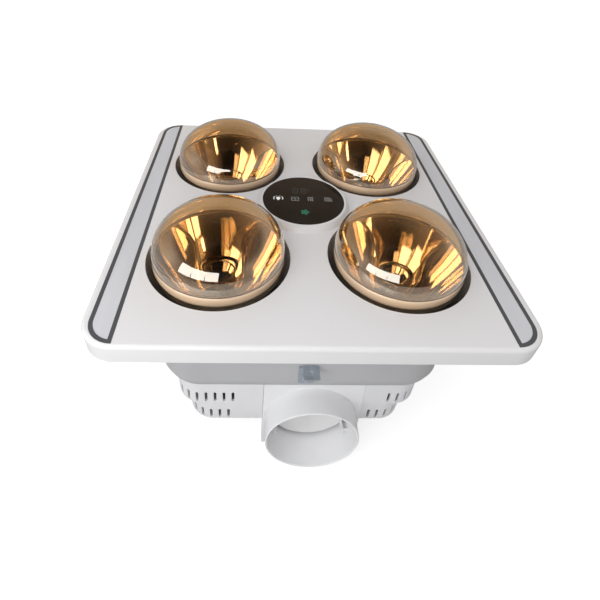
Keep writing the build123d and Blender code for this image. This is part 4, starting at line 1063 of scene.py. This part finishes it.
    def window(
        self, name: str, turn: float, height: float, distance: float, size: Place, power: float, colour: Colour,
        mirrored: bool = False,
    ) -> None:
        """Rectangular soft light that faces the middle of the face, by its direction from there.

        Args:
            name: name of the light.
            turn: degrees to the right of the duct side.
            height: degrees over the horizon.
            distance: how far it stands from the middle of the face.
            size: width and height.
            power: watts.
            colour: its colour.
            mirrored: whether gloss shows it.
        """
        t, h = math.radians(turn), math.radians(height)
        way = Vector((math.sin(t) * math.cos(h), -math.cos(t) * math.cos(h), math.sin(h)))
        lamp = bpy.data.lights.new(name, "AREA")
        lamp.shape = "RECTANGLE"
        lamp.size, lamp.size_y = size
        lamp.energy = power
        lamp.color = colour
        holder = bpy.data.objects.new(name, lamp)
        holder.location = Vector((0.0, 0.0, FACE_HEIGHT)) + way * distance
        holder.rotation_mode = "QUATERNION"
        holder.rotation_quaternion = (-way).to_track_quat("-Z", "Y")
        holder.visible_camera = False
        holder.visible_glossy = mirrored
        holder.visible_transmission = False
        bpy.context.scene.collection.objects.link(holder)

    def camera(self) -> None:
        """Camera from its three axes, its focal length in pixels and the picture's centre point."""
        data = bpy.data.cameras.new("photo_camera")
        data.sensor_fit = "HORIZONTAL"
        data.sensor_width = self.sensor
        data.lens = self.focal_pixels / IMAGE_SIDE * data.sensor_width
        data.shift_x = (IMAGE_SIDE / 2 - self.centre_x) / IMAGE_SIDE
        data.shift_y = (self.centre_y - IMAGE_SIDE / 2) / IMAGE_SIDE
        data.clip_start, data.clip_end = self.clip
        camera = bpy.data.objects.new("photo_camera", data)
        up, back = -Vector(self.camera_down), -Vector(self.camera_forward)
        axes = Matrix((self.camera_right, up, back)).transposed()
        camera.matrix_world = Matrix.Translation(self.camera_place) @ axes.to_4x4()
        bpy.context.scene.collection.objects.link(camera)
        bpy.context.scene.camera = camera

    def build(self) -> None:
        """Builds the studio."""
        self.floor()
        self.sky()
        warm, cool = (1.0, 0.99, 0.98), (0.98, 0.99, 1.0)
        self.window("key", self.key_turn, self.key_height, self.key_distance, self.key_size, self.key, warm)
        step = math.degrees((self.window_pane[0] + self.window_gap) / self.window_distance)
        for i in range(3):
            turn = self.window_turn + (i - 1) * step
            self.window(f"pane_{i}", turn, self.window_height, self.window_distance, self.window_pane,
                        self.window_power, cool, True)
        self.camera()
        bpy.context.scene.view_settings.view_transform = "Standard"


def make_finishes() -> dict[str, bpy.types.Material]:
    """All shared materials by the names that the sub-assemblies use."""
    finishes = [
        Moulding("face_white", (0.78, 0.77, 0.77), 0.32, coat=0.2, variation=0.01),
        # white plastic darkened to mid grey: painted shade of the ceiling box under the face
        Moulding("box_painted_shade_grey", (0.5, 0.5, 0.51), 0.5),
        Moulding("house_white", (0.8, 0.8, 0.81), 0.45),
        Moulding("duct_white", (0.84, 0.84, 0.85), 0.4),
        Moulding("casing_white", (0.78, 0.78, 0.77), 0.5),
        Moulding("trim", (0.085, 0.088, 0.095), 0.4, variation=0.08),
        Moulding("wheel_grey", (0.2, 0.21, 0.22), 0.5, variation=0.08),
        Moulding("rubber", (0.03, 0.03, 0.03), 0.7, variation=0.15),
        Moulding("digit_glass", (0.3, 0.32, 0.32), 0.2),
        SheetMetal("zinc", (0.62, 0.64, 0.66)),
        SheetMetal("bracket_zinc", (0.55, 0.6, 0.66), 0.3, (14.0, 14.0, 1.0), 0.18),
        SheetMetal("screw", (0.7, 0.72, 0.75), 0.25),
        SheetMetal("brass", (0.8, 0.62, 0.3), 0.3),
        SheetMetal("tin", (0.72, 0.72, 0.72), 0.3),
        SheetMetal("copper", (0.72, 0.36, 0.18), 0.35, (14.0, 14.0, 1.0)),
        CoatedGlass("film_glass"),
        RimGlass("rim_glass"),
        Moulding("seam", (0.10, 0.055, 0.03), 0.35, variation=0.1),
        Mirror("film_mirror"),
        Mirror("wire", (0.75, 0.7, 0.6), 0.2, 0.0),
        Gloss("lens"),
        Print("digit_print", (0.075, 0.08, 0.077)),
        Print("key_print", (0.3, 0.31, 0.3)),
        # white lamp mark and green button mark with a painted glow
        Print("painted_glow_print", (0.9, 0.9, 0.9), 0.25),
        Print("button_painted_glow_print", (0.02, 0.17, 0.1), 0.12),
        Frosted("frosted"),
        Laminate("board_green", (0.04, 0.22, 0.1)),
        Laminate("board_white", (0.8, 0.8, 0.78)),
        Glaze("ceramic"),
    ]
    return {finish.name: finish.material() for finish in finishes}


def main() -> None:
    """Builds the heater's looks and the studio."""
    finishes = make_finishes()
    for corner in Corner:
        Lamp(corner).build(finishes)
    Face().build(finishes)
    Display().build(finishes)
    Housing().build(finishes)
    Fan().build(finishes)
    Studio().build()


if __name__ == "__main__":
    main()
